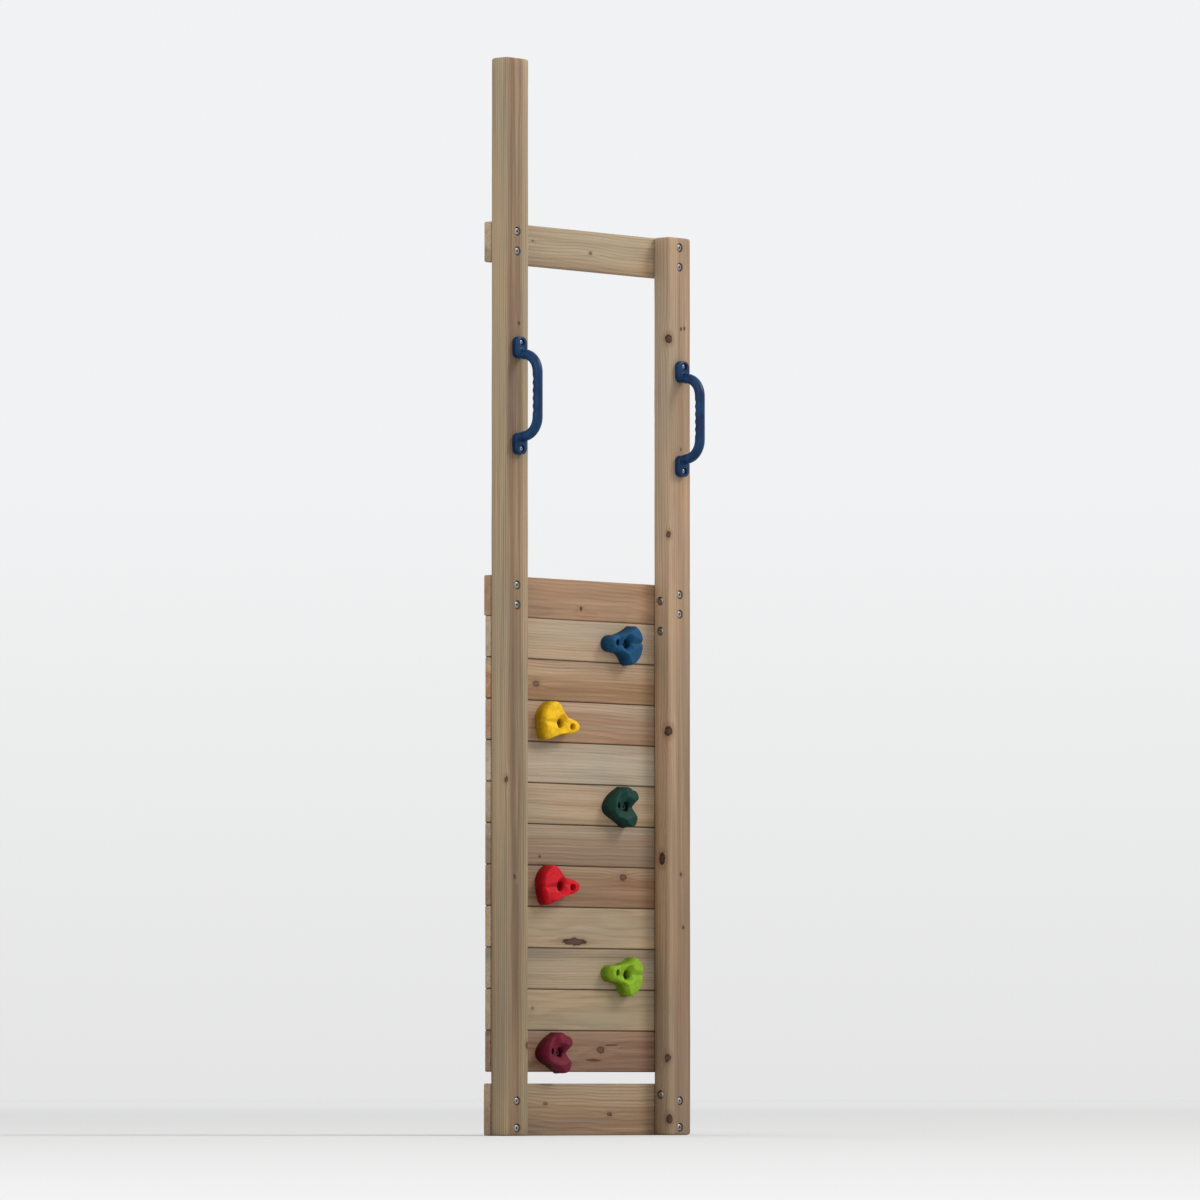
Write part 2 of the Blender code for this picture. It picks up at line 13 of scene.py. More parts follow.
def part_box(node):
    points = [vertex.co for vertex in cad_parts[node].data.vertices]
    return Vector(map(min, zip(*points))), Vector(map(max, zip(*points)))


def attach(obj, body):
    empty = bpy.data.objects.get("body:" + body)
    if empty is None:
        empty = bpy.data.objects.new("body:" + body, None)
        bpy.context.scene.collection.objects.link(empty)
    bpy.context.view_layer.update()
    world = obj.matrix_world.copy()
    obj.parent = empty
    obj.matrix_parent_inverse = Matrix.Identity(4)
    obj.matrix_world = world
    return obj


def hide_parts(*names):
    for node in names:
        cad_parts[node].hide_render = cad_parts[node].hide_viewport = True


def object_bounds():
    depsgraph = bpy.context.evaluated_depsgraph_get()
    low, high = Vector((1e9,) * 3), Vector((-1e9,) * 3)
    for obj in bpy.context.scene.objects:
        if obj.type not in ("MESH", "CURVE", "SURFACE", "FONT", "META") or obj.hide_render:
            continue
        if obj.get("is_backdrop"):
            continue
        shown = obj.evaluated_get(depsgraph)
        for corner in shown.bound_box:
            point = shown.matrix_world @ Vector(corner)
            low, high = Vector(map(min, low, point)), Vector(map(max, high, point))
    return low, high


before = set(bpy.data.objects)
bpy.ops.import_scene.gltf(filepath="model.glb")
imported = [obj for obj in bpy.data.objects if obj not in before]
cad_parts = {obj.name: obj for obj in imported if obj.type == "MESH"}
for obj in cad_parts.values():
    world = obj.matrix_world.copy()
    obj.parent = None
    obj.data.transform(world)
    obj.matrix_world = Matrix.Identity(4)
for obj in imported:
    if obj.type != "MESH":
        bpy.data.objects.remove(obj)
CAD_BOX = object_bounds()

FRONT, BACK, LEFT, RIGHT = Vector((0, -1, 0)), Vector((0, 1, 0)), Vector((-1, 0, 0)), Vector((1, 0, 0))
GAP = 0.0003  # air between pieces that touch

# Fasteners. Shanks, heads and bores are radii; sockets and nuts are measured across their flats.
CLEARANCE = 0.0005  # a bolt hole is this much larger than its shank, in radius
OVERCUT = 0.002  # how far a cutter reaches past the face it starts from
FRAME_SHANK, FRAME_HEAD, FRAME_HEAD_HEIGHT, FRAME_SOCKET = 0.0040, 0.0080, 0.0045, 0.0050
FRAME_NUT, FRAME_NUT_HEIGHT = 0.0130, 0.0064
FRAME_WASHER, FRAME_WASHER_DEPTH = 0.0100, 0.0016
FRAME_TIP = 0.0120  # from the washer's face to the end of the thread
COUNTERBORE, COUNTERBORE_DEPTH = 0.0100, 0.0060
HOLD_SHANK, HOLD_HEAD, HOLD_HEAD_HEIGHT, HOLD_SOCKET = 0.0040, 0.0065, 0.0060, 0.0060
HOLD_WASHER, HOLD_WASHER_DEPTH = 0.0080, 0.0012
HOLD_TIP = 0.0060  # beyond the board's back face
T_NUT_BARREL, T_NUT_FLANGE, T_NUT_FLANGE_DEPTH, T_NUT_LENGTH = 0.0052, 0.0110, 0.0015, 0.0120
GRIP_SCREW, GRIP_SCREW_HEAD, GRIP_SCREW_HEAD_HEIGHT = 0.0030, 0.0060, 0.0032
GRIP_SCREW_SEAT = 0.0080
BOARD_SCREW_HEAD, BOARD_SCREW_SHANK = 0.0042, 0.0022
COUNTERSINK, COUNTERSINK_RIM = (-0.0026, 0.0008), BOARD_SCREW_HEAD + 0.0012  # from and to, and radius at the rim
THREAD_PITCH, THREAD_DEPTH = 0.00125, 0.0006

# Grips, as in the frame but for slightly deeper finger scallops.
GRIP_LENGTH, GRIP_REACH, GRIP_RADIUS, GRIP_BEND = 0.250, 0.058, 0.0108, 0.040
GRIP_PAD_WIDTH, GRIP_PAD_DEPTH, GRIP_PAD_HEIGHT, GRIP_PAD_CORNER = 0.034, 0.014, 0.046, 0.013
FINGERS, FINGER_PITCH, FINGER_DEPTH = 5, 0.0165, 0.0020

# Holds: colour, mould, turn in degrees.
HOLDS = (
    ("blue", "block", 0), ("yellow", "block", 172), ("dark_green", "shell", 0),
    ("red", "block", 180), ("lime", "block", -4), ("maroon", "shell", 0),
)
# Corners of each mould's back face, anticlockwise seen from the climber's side: X and Z from the main bolt.
OUTLINES = {
    "block": (
        (0.050, 0.003), (0.047, 0.018), (0.042, 0.032), (0.035, 0.0395), (0.028, 0.040), (0.016, 0.033),
        (0.001, 0.026), (-0.018, 0.020), (-0.037, 0.018), (-0.050, 0.010), (-0.053, -0.004), (-0.044, -0.015),
        (-0.026, -0.018), (-0.012, -0.020), (-0.002, -0.027), (0.006, -0.038), (0.018, -0.0455),
        (0.034, -0.038), (0.046, -0.025), (0.051, -0.010),
    ),
    "shell": (
        (0.026, 0.002), (0.031, 0.012), (0.033, 0.024), (0.026, 0.034), (0.014, 0.038), (0.002, 0.043),
        (-0.012, 0.037), (-0.029, 0.027), (-0.043, 0.014), (-0.050, -0.001), (-0.046, -0.013), (-0.033, -0.022),
        (-0.018, -0.029), (-0.004, -0.037), (0.011, -0.045), (0.024, -0.042), (0.029, -0.030), (0.027, -0.014),
    ),
}
# Each mould's crown is the highest of its lobes, and a lobe is the lowest of its facets.
# A facet is (height at the main bolt, slope along X, slope along Z).
LOBES = {
    "block": (
        ((0.0250, -0.24, 0.02), (0.0055, -1.30, 0.00), (0.0420, 0.00, -0.75), (0.0410, 0.00, 0.85)),
        ((0.0408, -0.14, -0.06), (0.0295, -0.10, 0.80), (0.0622, 1.25, 0.00), (0.0650, -0.35, -0.70)),
        ((0.0392, -0.17, 0.10), (0.0300, 0.00, -0.70), (0.0368, 0.75, -0.10), (0.0560, -0.20, 0.50)),
        ((0.0365, -0.30, 0.12), (0.0485, 1.10, -0.10), (0.0235, -0.10, -0.60)),
    ),
    "shell": (
        ((0.0200, -0.40, 0.06), (0.1300, 2.10, 0.00), (0.0500, 0.10, -0.60), (0.0440, 0.00, 0.70)),
        ((0.0400, -0.05, -0.14), (0.0250, -0.10, 0.85), (0.0400, 0.90, 0.10)),
        ((0.0180, 0.10, -0.80), (0.0440, -0.10, 0.22), (0.0360, 0.45, -0.20)),
    ),
}
CREASE = 0.0025  # how far a crease between facets is rounded
HOLD_LOCK = {"block": (-0.0335, 0.0020), "shell": (-0.0275, 0.0020)}
# A round dish is scooped out about the main bolt: its floor's height and radius, and the slope round it.
DISH_FLOOR, DISH_RADIUS, DISH_SLOPE = 0.0260, 0.0105, 1.25
HOLD_SEAT, LOCK_SEAT = 0.010, 0.010  # thickness of plastic left under each head
HOLD_RECESS, LOCK_RECESS = 0.0098, 0.0066
LOCK_SCREW = 0.0025
BEYOND = 0.080  # past the front of any hold
SHOULDER = 0.0045  # how far in from its back edge a hold's crown starts


# ------------ meshes

def linked(name, data):
    made = bpy.data.objects.new(name, data)
    bpy.context.scene.collection.objects.link(made)
    return made


def mesh_object(name, vertices, faces, smooth_angle=35):
    mesh = bpy.data.meshes.new(name)
    mesh.from_pydata([tuple(v) for v in vertices], [], faces)
    built = bmesh.new()
    built.from_mesh(mesh)
    bmesh.ops.recalc_face_normals(built, faces=built.faces)
    built.to_mesh(mesh)
    built.free()
    mesh.shade_smooth()
    mesh.set_sharp_from_angle(angle=math.radians(smooth_angle))
    return linked(name, mesh)


def joined_rings(rings, looped=False):
    """Faces that join rings of equal length; the two ends are capped unless the last ring meets the first."""
    count = len(rings[0])
    vertices = [point for ring in rings for point in ring]
    faces = []
    for k in range(len(rings) if looped else len(rings) - 1):
        a, b = k * count, (k + 1) % len(rings) * count
        for i in range(count):
            j = (i + 1) % count
            faces.append((a + i, a + j, b + j, b + i))
    if not looped:
        faces.append(tuple(range(count)))
        faces.append(tuple(range((len(rings) - 1) * count, len(rings) * count)))
    return vertices, faces


def hexagon(across_flats):
    """Radius of a hexagon at an angle from a corner."""
    def radius(angle):
        return across_flats / 2 / math.cos((angle % (math.pi / 3)) - math.pi / 6)
    return radius


def turned(name, sections, sides=36, looped=False):
    """A solid on the Z axis from (z, radius) sections, where radius is a number or a function of the angle."""
    rings = []
    for z, radius in sections:
        ring = []
        for i in range(sides):
            angle = 2 * math.pi * i / sides
            r = radius(angle) if callable(radius) else radius
            ring.append((r * math.cos(angle), r * math.sin(angle), z))
        rings.append(ring)
    vertices, faces = joined_rings(rings, looped)
    return mesh_object(name, vertices, faces)


def screw_thread(start, end, outer):
    """Sections of a helical thread from one height to another, the crests at the outer radius."""
    per_turn = 6
    count = max(2, round((end - start) / THREAD_PITCH * per_turn))
    sections = []
    for k in range(count + 1):
        z = start + (end - start) * k / count
        run_out = min(1.0, k / per_turn, (count - k) / per_turn)

        def radius(angle, z=z, run_out=run_out):
            turn = (z / THREAD_PITCH - angle / (2 * math.pi)) % 1.0
            return outer - THREAD_DEPTH * (1 - run_out * (1 - abs(2 * turn - 1)))
        sections.append((z, radius))
    return sections


def facing(direction):
    """Rotation that turns a solid's +Z to a direction."""
    return Vector((0, 0, 1)).rotation_difference(Vector(direction)).to_matrix().to_4x4()


def place(made, point, direction):
    made.data.transform(Matrix.Translation(point) @ facing(direction))
    return made


def evaluated(made):
    """Applies an object's modifiers to its mesh."""
    graph = bpy.context.evaluated_depsgraph_get()
    mesh = bpy.data.meshes.new_from_object(made.evaluated_get(graph))
    made.modifiers.clear()
    made.data = mesh
    return made


def boolean(target, others, operation="DIFFERENCE", smooth_angle=35):
    """Cuts closed solids from a piece, or joins them to it, and removes them."""
    for other in others:
        step = target.modifiers.new(other.name, "BOOLEAN")
        step.operation = operation
        step.solver = "EXACT"
        step.object = other
    bpy.context.view_layer.update()
    evaluated(target)
    for other in others:
        bpy.data.objects.remove(other)
    target.data.shade_smooth()
    target.data.set_sharp_from_angle(angle=math.radians(smooth_angle))
    return target


def bore(point, direction, start, end, radius, end_radius=None, sides=36):
    """A closed cutter along a direction from a point."""
    cutter = turned("bore", [(start, radius), (end, radius if end_radius is None else end_radius)], sides)
    return place(cutter, point, direction)


def joined(name, objects):
    """One object from several, each already in place."""
    made = bmesh.new()
    for other in objects:
        made.from_mesh(other.data)
        bpy.data.objects.remove(other)
    mesh = bpy.data.meshes.new(name)
    made.to_mesh(mesh)
    made.free()
    return linked(name, mesh)


# ------------ shader nodes

class Nodes:
    """The node tree of a material or a world, and short calls for building it."""

    def __init__(self, owner, shader="Principled BSDF"):
        owner.use_nodes = True
        self.owner = owner
        self.tree = owner.node_tree
        self.shader = self.tree.nodes[shader]
        self.places = self.node("ShaderNodeTexCoord").outputs
        self.position = self.places["Object"]

    def node(self, kind, inputs=(), **settings):
        made = self.tree.nodes.new(kind)
        for key, value in settings.items():
            setattr(made, key, value)
        for key, value in dict(inputs).items():
            self.feed(made.inputs[key], value)
        return made

    def feed(self, socket, value):
        if isinstance(value, bpy.types.NodeSocket):
            self.tree.links.new(value, socket)
        elif value is not None:
            socket.default_value = value

    def math(self, operation, a, b=None, c=None, clamp=False):
        return self.node("ShaderNodeMath", {0: a, 1: b, 2: c}, operation=operation, use_clamp=clamp).outputs[0]

    def plus(self, a, b):
        return self.math("ADD", a, b)

    def minus(self, a, b):
        return self.math("SUBTRACT", a, b)

    def times(self, a, b, clamp=False):
        return self.math("MULTIPLY", a, b, clamp=clamp)

    def scaled(self, value, factor, offset):
        return self.math("MULTIPLY_ADD", value, factor, offset)

    def distance(self, a, b):
        return self.math("SQRT", self.plus(self.times(a, a), self.times(b, b)))

    def stretch(self, vector, scales):
        return self.node("ShaderNodeVectorMath", {0: vector, 1: scales}, operation="MULTIPLY").outputs[0]

    def split(self, vector):
        return self.node("ShaderNodeSeparateXYZ", {"Vector": vector}).outputs

    def combine(self, x, y, z):
        return self.node("ShaderNodeCombineXYZ", {"X": x, "Y": y, "Z": z}).outputs[0]

    def noise(self, vector, scale=1.0, detail=3.0, roughness=0.5, output="Fac"):
        inputs = {"Vector": vector, "Scale": scale, "Detail": detail, "Roughness": roughness}
        return self.node("ShaderNodeTexNoise", inputs).outputs[output]

    def rise(self, value, low, high):
        """0 below low, 1 above high, and smooth between them."""
        made = self.node("ShaderNodeMapRange", {
            "Value": value, "From Min": low, "From Max": high,
        }, interpolation_type="SMOOTHSTEP")
        return made.outputs["Result"]

    def fall(self, value, low, high):
        """1 below low, 0 above high, and smooth between them."""
        return self.minus(1.0, self.rise(value, low, high))

    def mix(self, factor, a, b, blend="MIX"):
        inputs = {"Factor": factor, 6: a, 7: b}
        return self.node("ShaderNodeMix", inputs, data_type="RGBA", blend_type=blend).outputs[2]

    def cover(self, colour, other, mask, share):
        """A colour with a share of another laid over it where the mask is 1."""
        return self.mix(self.times(mask, share), colour, other)

    def finish(self, colour, roughness, height, strength, distance, **settings):
        self.feed(self.shader.inputs["Base Color"], colour)
        self.feed(self.shader.inputs["Roughness"], roughness)
        bump = self.node("ShaderNodeBump", {"Height": height, "Strength": strength, "Distance": distance})
        self.feed(self.shader.inputs["Normal"], bump.outputs[0])
        for key, value in settings.items():
            self.shader.inputs[key.replace("_", " ")].default_value = value
        return self.owner


DARK_END = 10.5 / 255  # display levels up to here are in proportion to the light


def new_material(name):
    return Nodes(bpy.data.materials.new(name))


def linear(red, green, blue):
    """A display colour, 0 to 255 each, as the linear colour that a shader takes."""
    parts = (c / 255 for c in (red, green, blue))
    return (*(((c + 0.055) / 1.055) ** 2.4 if c > DARK_END else c / 12.92 for c in parts), 1.0)


def dimmed(colour, *shares):
    """A linear colour times a share, or times a share for each channel."""
    shares = shares * 3 if len(shares) == 1 else shares
    return (*(c * share for c, share in zip(colour, shares)), 1.0)


# Share of a stated wood tone that the shader takes, so that the lit wood shows the stated tone.
LIT = (0.845, 0.836, 0.785)
SOFT_EDGE = 0.006  # how gradual the edge of the heartwood is
WEATHERING = 0.10  # how grey the blotches on the wood are


def tone(red, green, blue):
    return dimmed(linear(red, green, blue), *LIT)


LONG_KNOT = 3.5  # a knot stretched more than this is cut lengthwise, and comes to a point at both ends


def wood(name, along, seed, light, dark, pith, heart, spacing, contrast, knots, tilt=0.014, joints=None,
         shade=None):
    """Planed softwood whose growth rings lie round a pith line that runs along one axis.

    along: the grain's axis, "X" or "Z". light, dark: sapwood and heartwood, display colours.
    pith: where the pith line is, across and in depth. heart: the heartwood's radius about it.
    knots: (along, across, radius, darkness, stretch) each, with a depth for one that shows on one corner only.
    tilt: how far the pith line wanders.
    joints: (low, high) edges of a wall board, darkened where it meets the next one: partly a stain, partly
    painted shade.
    shade: (low, high, share of the light left at the foot) for a post painted with shade: darker at its foot
    than at its top, and along its back edge.
    """
    n = new_material(name)
    x, depth, z = n.split(n.position)
    length, across = (x, z) if along == "X" else (z, x)
    shift = (seed * 7.31) % 97.0

    def stretched(a, b, c):
        """Coordinates for noise with so many cycles a metre along, across and in depth."""
        return n.combine(n.scaled(length, a, shift), n.times(across, b), n.times(depth, c))

    wander = n.split(n.noise(stretched(2.4, 0.0, 0.0), 1.0, 2.0, output="Color"))
    wobble = n.noise(stretched(3.5, 16.0, 16.0), 1.0, 3.0, 0.55)
    u = n.minus(across, pith[0])
    v = n.minus(depth, pith[1])
    u = n.plus(u, n.scaled(wander[0], 2 * tilt, -tilt))
    v = n.plus(v, n.scaled(wander[1], 2 * tilt, -tilt))
    r = n.scaled(wobble, 0.008, n.minus(n.distance(u, v), 0.004))

    cores, halos, darks = [], [], []
    ragged = n.noise(stretched(120.0, 210.0, 150.0), 1.0, 4.0, 0.65) if knots else None
    curl = n.noise(stretched(45.0, 70.0, 60.0), 1.0, 2.0) if knots else None
    for at, side, radius, darkness, stretch, *deep_at in knots:
        a = n.math("DIVIDE", n.minus(length, at), radius * stretch)
        b = n.math("DIVIDE", n.minus(across, side), radius)
        b = n.plus(b, n.scaled(curl, 1.1, -0.55))
        square = n.times(b, b)
        if deep_at:
            c = n.math("DIVIDE", n.minus(depth, deep_at[0]), radius)
            square = n.plus(square, n.times(c, c))
        if stretch > LONG_KNOT:
            d = n.plus(n.math("ABSOLUTE", a), square)
        else:
            d = n.math("SQRT", n.plus(n.times(a, a), square))
        d = n.scaled(ragged, 1.1, n.minus(d, 0.55))
        wide = n.plus(n.times(n.times(a, a), 0.35), square)
        push = n.math("POWER", math.e, n.times(wide, -0.20))
        side_of = n.math("SIGN", b)
        r = n.plus(r, n.times(n.times(push, side_of), radius * 0.75))
        cores.append(n.times(n.fall(d, 0.84, 1.08), darkness))
        halos.append(n.times(n.fall(d, 0.95, 2.6), darkness * 0.40))
        rim = n.math("ABSOLUTE", n.minus(d, 0.80))
        darks.append(n.times(n.fall(rim, 0.05, 0.30), darkness))

    uneven = n.noise(stretched(0.8, 3.0, 3.0), 1.0, 1.0)
    rings = n.plus(n.math("DIVIDE", r, spacing), n.times(uneven, 2.0))
    phase = n.math("FRACT", rings)
    late = n.times(n.rise(phase, 0.30, 0.88), n.fall(phase, 0.90, 1.0))
    band = n.noise(n.combine(n.times(rings, 0.37), shift, 0.0), 1.0, 1.0)
    late = n.times(late, n.scaled(band, 1.1, 0.25))

    fibre = n.noise(stretched(9.0, 620.0, 620.0), 1.0, 3.0, 0.6)
    streak = n.noise(stretched(2.2, 120.0, 120.0), 1.0, 4.0, 0.6)
    broad = n.noise(stretched(1.1, 42.0, 42.0), 1.0, 3.0, 0.55)
    cloud = n.noise(stretched(2.0, 11.0, 11.0), 1.0, 3.0, 0.5)
    blotch = n.noise(stretched(14.0, 30.0, 30.0), 1.0, 4.0, 0.65)

    edge = n.scaled(streak, 0.010, n.minus(r, 0.005))
    inside = n.fall(edge, heart - SOFT_EDGE, heart + SOFT_EDGE)
    colour = n.mix(inside, tone(*light), tone(*dark))
    deep = dimmed(tone(*dark), 0.62, 0.50, 0.42)
    pale = dimmed(tone(*light), 1.22)
    colour = n.mix(n.times(late, contrast * 1.5, clamp=True), colour, deep)
    colour = n.cover(colour, deep, n.rise(streak, 0.50, 0.72), 0.42)
    colour = n.cover(colour, deep, n.rise(broad, 0.52, 0.72), 0.26)
    colour = n.cover(colour, pale, n.rise(streak, 0.50, 0.28), 0.45)
    colour = n.cover(colour, pale, n.rise(broad, 0.48, 0.28), 0.40)
    warm = n.mix(n.rise(cloud, 0.30, 0.70), (0.90, 0.95, 0.99, 1.0), (1.10, 1.04, 0.99, 1.0))
    colour = n.mix(1.0, colour, warm, "MULTIPLY")
    thread = n.mix(fibre, (0.84, 0.83, 0.82, 1.0), (1.14, 1.14, 1.14, 1.0))
    colour = n.mix(1.0, colour, thread, "MULTIPLY")
    colour = n.cover(colour, tone(128, 122, 108), n.rise(blotch, 0.42, 0.75), WEATHERING)
    for halo in halos:
        colour = n.mix(halo, colour, tone(118, 80, 56))
    for core in cores:
        colour = n.cover(colour, n.mix(fibre, tone(58, 32, 22), tone(96, 58, 40)), core, 0.95)
    for dark_rim in darks:
        colour = n.cover(colour, tone(34, 19, 14), dark_rim, 0.75)
    if joints:
        # A dark line at each joint, partly a stain and partly painted shade, wider along the board's lower edge.
        ragged_edge = n.scaled(blotch, 0.0016, -0.0008)
        above = n.plus(n.minus(across, joints[0]), ragged_edge)
        below = n.plus(n.minus(joints[1], across), ragged_edge)
        colour = n.cover(colour, tone(70, 48, 32), n.fall(above, 0.0010, 0.0036), 0.80)
        colour = n.cover(colour, tone(80, 56, 38), n.fall(below, 0.0002, 0.0012), 0.80)
    if shade:
        low, high, share = shade
        # Painted shade: the post darkens towards its foot, as a share of the light lost there.
        out_of_foot_shade = n.rise(n.scaled(cloud, 0.3, n.minus(length, 0.15)), low, high)
        painted_foot_shade = n.mix(out_of_foot_shade, (share, share * 0.98, share * 0.94, 1.0), (1.0, 1.0, 1.0, 1.0))
        colour = n.mix(1.0, colour, painted_foot_shade, "MULTIPLY")
        # Painted shade along the post's back edge beside the boards, darker and warmer low down, fading out up
        # the post.
        back = n.rise(n.scaled(cloud, 0.010, n.minus(depth, 0.005)), -0.030, -0.010)
        back = n.times(back, n.scaled(out_of_foot_shade, -0.8, 1.0))
        colour = n.mix(back, colour, n.mix(1.0, colour, (0.58, 0.48, 0.37, 1.0), "MULTIPLY"))

    height = n.scaled(fibre, 0.55, n.times(late, 0.35))
    height = n.scaled(streak, 0.40, height)
    for core in cores:
        height = n.scaled(core, 0.5, height)
    roughness = n.scaled(fibre, 0.18, n.scaled(late, -0.10, 0.62))
    return n.finish(colour, roughness, height, 0.55, 0.0006, Specular_IOR_Level=0.35)


def moulded_plastic(name, colour, edge):
    """Rough moulded resin: a mottled skin, paler where it is scuffed, and painted shade in its hollows and low
    down near the board.
    """
    n = new_material(name)
    cast = n.noise(n.position, 260.0, 5.0, 0.62)
    grit = n.noise(n.position, 1400.0, 3.0, 0.6)
    cloud = n.noise(n.position, 50.0, 3.0, 0.50)
    dimple = n.node("ShaderNodeTexVoronoi", {"Vector": n.position, "Scale": 520.0}, feature="SMOOTH_F1")
    base = n.mix(n.rise(cloud, 0.36, 0.64), dimmed(linear(*colour), 0.80), linear(*colour))
    base = n.cover(base, linear(*edge), n.rise(cast, 0.50, 0.74), 0.32)
    base = n.cover(base, linear(*edge), n.rise(grit, 0.60, 0.80), 0.18)
    # Painted shade: the plastic darkens where it stands close to the board, in the dish and round its foot.
    proud = n.minus(BOARD_FRONT, n.split(n.position)[1])
    painted_hollow_shade = n.rise(n.scaled(cloud, 0.006, proud), 0.029, 0.013)
    base = n.mix(painted_hollow_shade, base, n.mix(1.0, base, (0.52, 0.52, 0.52, 1.0), "MULTIPLY"))
    height = n.scaled(cast, 1.0, n.times(grit, 0.35))
    height = n.scaled(dimple.outputs["Distance"], 0.5, height)
    roughness = n.scaled(cast, 0.25, 0.50)
    return n.finish(base, roughness, height, 0.80, 0.0009, Specular_IOR_Level=0.20)


def grip_plastic():
    """Satin moulded plastic with a fine orange-peel skin."""
    n = new_material("grip_plastic")
    peel = n.noise(n.position, 900.0, 2.0, 0.5)
    cloud = n.noise(n.position, 40.0, 3.0, 0.5)
    scuff = n.noise(n.stretch(n.position, (700.0, 700.0, 90.0)), 1.0, 4.0, 0.65)
    base = n.mix(n.rise(cloud, 0.3, 0.7), linear(0, 34, 70), linear(0, 52, 92))
    base = n.cover(base, linear(36, 92, 128), n.rise(scuff, 0.60, 0.80), 0.18)
    height = n.scaled(scuff, 0.3, peel)
    return n.finish(base, n.scaled(scuff, 0.22, 0.26), height, 0.35, 0.0004, Specular_IOR_Level=0.22)


def zinc_steel(name, light):
    """Zinc plating: grey with a matt, crystalline bloom. light: a share that dims it, kept low to paint shade on
    steel in the holds' recesses.
    """
    n = new_material(name)
    bloom = n.noise(n.position, 700.0, 5.0, 0.65)
    stain = n.noise(n.position, 160.0, 3.0, 0.5)
    fresh, dull, crystal = (
        dimmed(linear(*shade), light)
        for shade in ((196, 197, 198), (150, 148, 142), (228, 228, 226))
    )
    base = n.mix(n.rise(stain, 0.35, 0.75), fresh, dull)
    base = n.cover(base, crystal, n.rise(bloom, 0.5, 0.75), 0.4)
    return n.finish(base, n.scaled(bloom, 0.30, 0.26), bloom, 0.25, 0.0002, Metallic=1.0)


# ------------ timber

CORNER_STEPS = 4


def timber(name, node, along, ease, seed, grow=0.0):
    """A planed piece that fills a CAD node's box: a rounded section along its length, its edges slightly worn.

    grow: how much taller than the box it stands, to shut the seam over it.
    """
    low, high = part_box(node)
    high = high + Vector((0, 0, grow))
    axis = "XYZ".index(along)
    other = 2 if along == "X" else 0
    half_u, half_v = (high[other] - low[other]) / 2, (high[1] - low[1]) / 2
    centre = (low + high) / 2
    length = high[axis] - low[axis]
    stations = [0.0, ease * 0.30, ease]
    count = max(8, round(length / 0.015))
    stations += [ease + (length - 2 * ease) * k / count for k in range(1, count)]
    stations += [length - ease, length - ease * 0.30, length]
    rings = []
    for s in stations:
        end = min(s, length - s)
        inset = 0.0
        if end < ease:
            inset = ease - math.sqrt(max(0.0, ease ** 2 - (ease - end) ** 2))
        ring = []
        for corner, (cu, cv) in enumerate(((1, 1), (-1, 1), (-1, -1), (1, -1))):
            worn = noise.noise(Vector((s * 9.0, seed * 3.7 + corner * 11.0, 0.5)))
            nick = max(0.0, noise.noise(Vector((s * 40.0, seed * 5.1 + corner * 17.0, 4.0))) - 0.35)
            e = ease * (1.0 + 0.22 * worn) + 0.0030 * nick
            for k in range(CORNER_STEPS + 1):
                angle = math.pi / 2 * (corner + k / CORNER_STEPS)
                u = cu * (half_u - e) + e * math.cos(angle)
                v = cv * (half_v - e) + e * math.sin(angle)
                point = [0.0, 0.0, 0.0]
                point[axis] = low[axis] + s
                point[other] = centre[other] + u * (1 - inset / half_u)
                point[1] = centre[1] + v * (1 - inset / half_v)
                ring.append(point)
        rings.append(ring)
    vertices, faces = joined_rings(rings)
    return mesh_object(name, vertices, faces)


def finished(piece, node, slot, material):
    """Gives a piece its material, and lets it stand for its CAD node, if it has one."""
    piece.data.materials.clear()
    piece.data.materials.append(material)
    for face in piece.data.polygons:
        face.material_index = 0
    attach(piece, "root")
    if node:
        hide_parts(node)
    return piece


def middle(node):
    low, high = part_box(node)
    return (low + high) / 2


POSTS = {"left": "post_left", "right": "post_right"}
RAILS = {"rail": "top_rail", "rim": "rim_board", "base": "base_board"}
BOARDS = [f"wall_board_{number:02d}" for number in range(1, 12)]
POST_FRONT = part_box("post_left")[0].y
BOARD_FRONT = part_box(BOARDS[0])[0].y
BOARD_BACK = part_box(BOARDS[0])[1].y
RAIL_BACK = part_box("rim_board")[1].y
THROUGH = 0.2


def frame_bolt_places():
    """(node, which rail, side, point on the post's front face) of each bolt that ties a rail to a post."""
    for rail in RAILS:
        for side in POSTS:
            for row in ("upper", "lower"):
                node = f"{rail}_bolt_{side}_{row}"
                at = middle(node)
                yield node, rail, side, Vector((at.x, POST_FRONT, at.z))


def tie_bolt_places():
    """(node, point on the right post's inner face) of each bolt through that post."""
    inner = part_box("post_right")[0].x
    for row in ("upper", "lower", "foot"):
        node = f"tie_bolt_{row}"
        at = middle(node)
        yield node, Vector((inner, at.y, at.z))


def grip_screw_places():
    for side in POSTS:
        for row in ("lower", "upper"):
            node = f"handle_screw_{side}_{row}"
            at = middle(node)
            yield node, side, Vector((at.x, POST_FRONT - GAP, at.z))


def hold_bolt_places():
    for colour, mould, turn in HOLDS:
        at = middle(f"hold_bolt_{colour}")
        yield colour, mould, turn, Vector((at.x, BOARD_FRONT, at.z))


def board_screw_places(board):
    """Two screws into each post, from the board's back face."""
    low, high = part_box(board)
    for side, post in POSTS.items():
        x = middle(post).x
        for share in (0.24, 0.76):
            lean = 0.004 * noise.noise(Vector((x * 31.0, low.z * 57.0, share * 9.0)))
            yield Vector((x + lean * 1.5, high.y, low.z + (high.z - low.z) * share + lean * 0.6))


def counterbore_cutters(point, direction):
    yield bore(point, direction, -COUNTERBORE_DEPTH, 0.004, COUNTERBORE)
    yield bore(point, direction, -THROUGH, -COUNTERBORE_DEPTH + OVERCUT, FRAME_SHANK + CLEARANCE, sides=24)


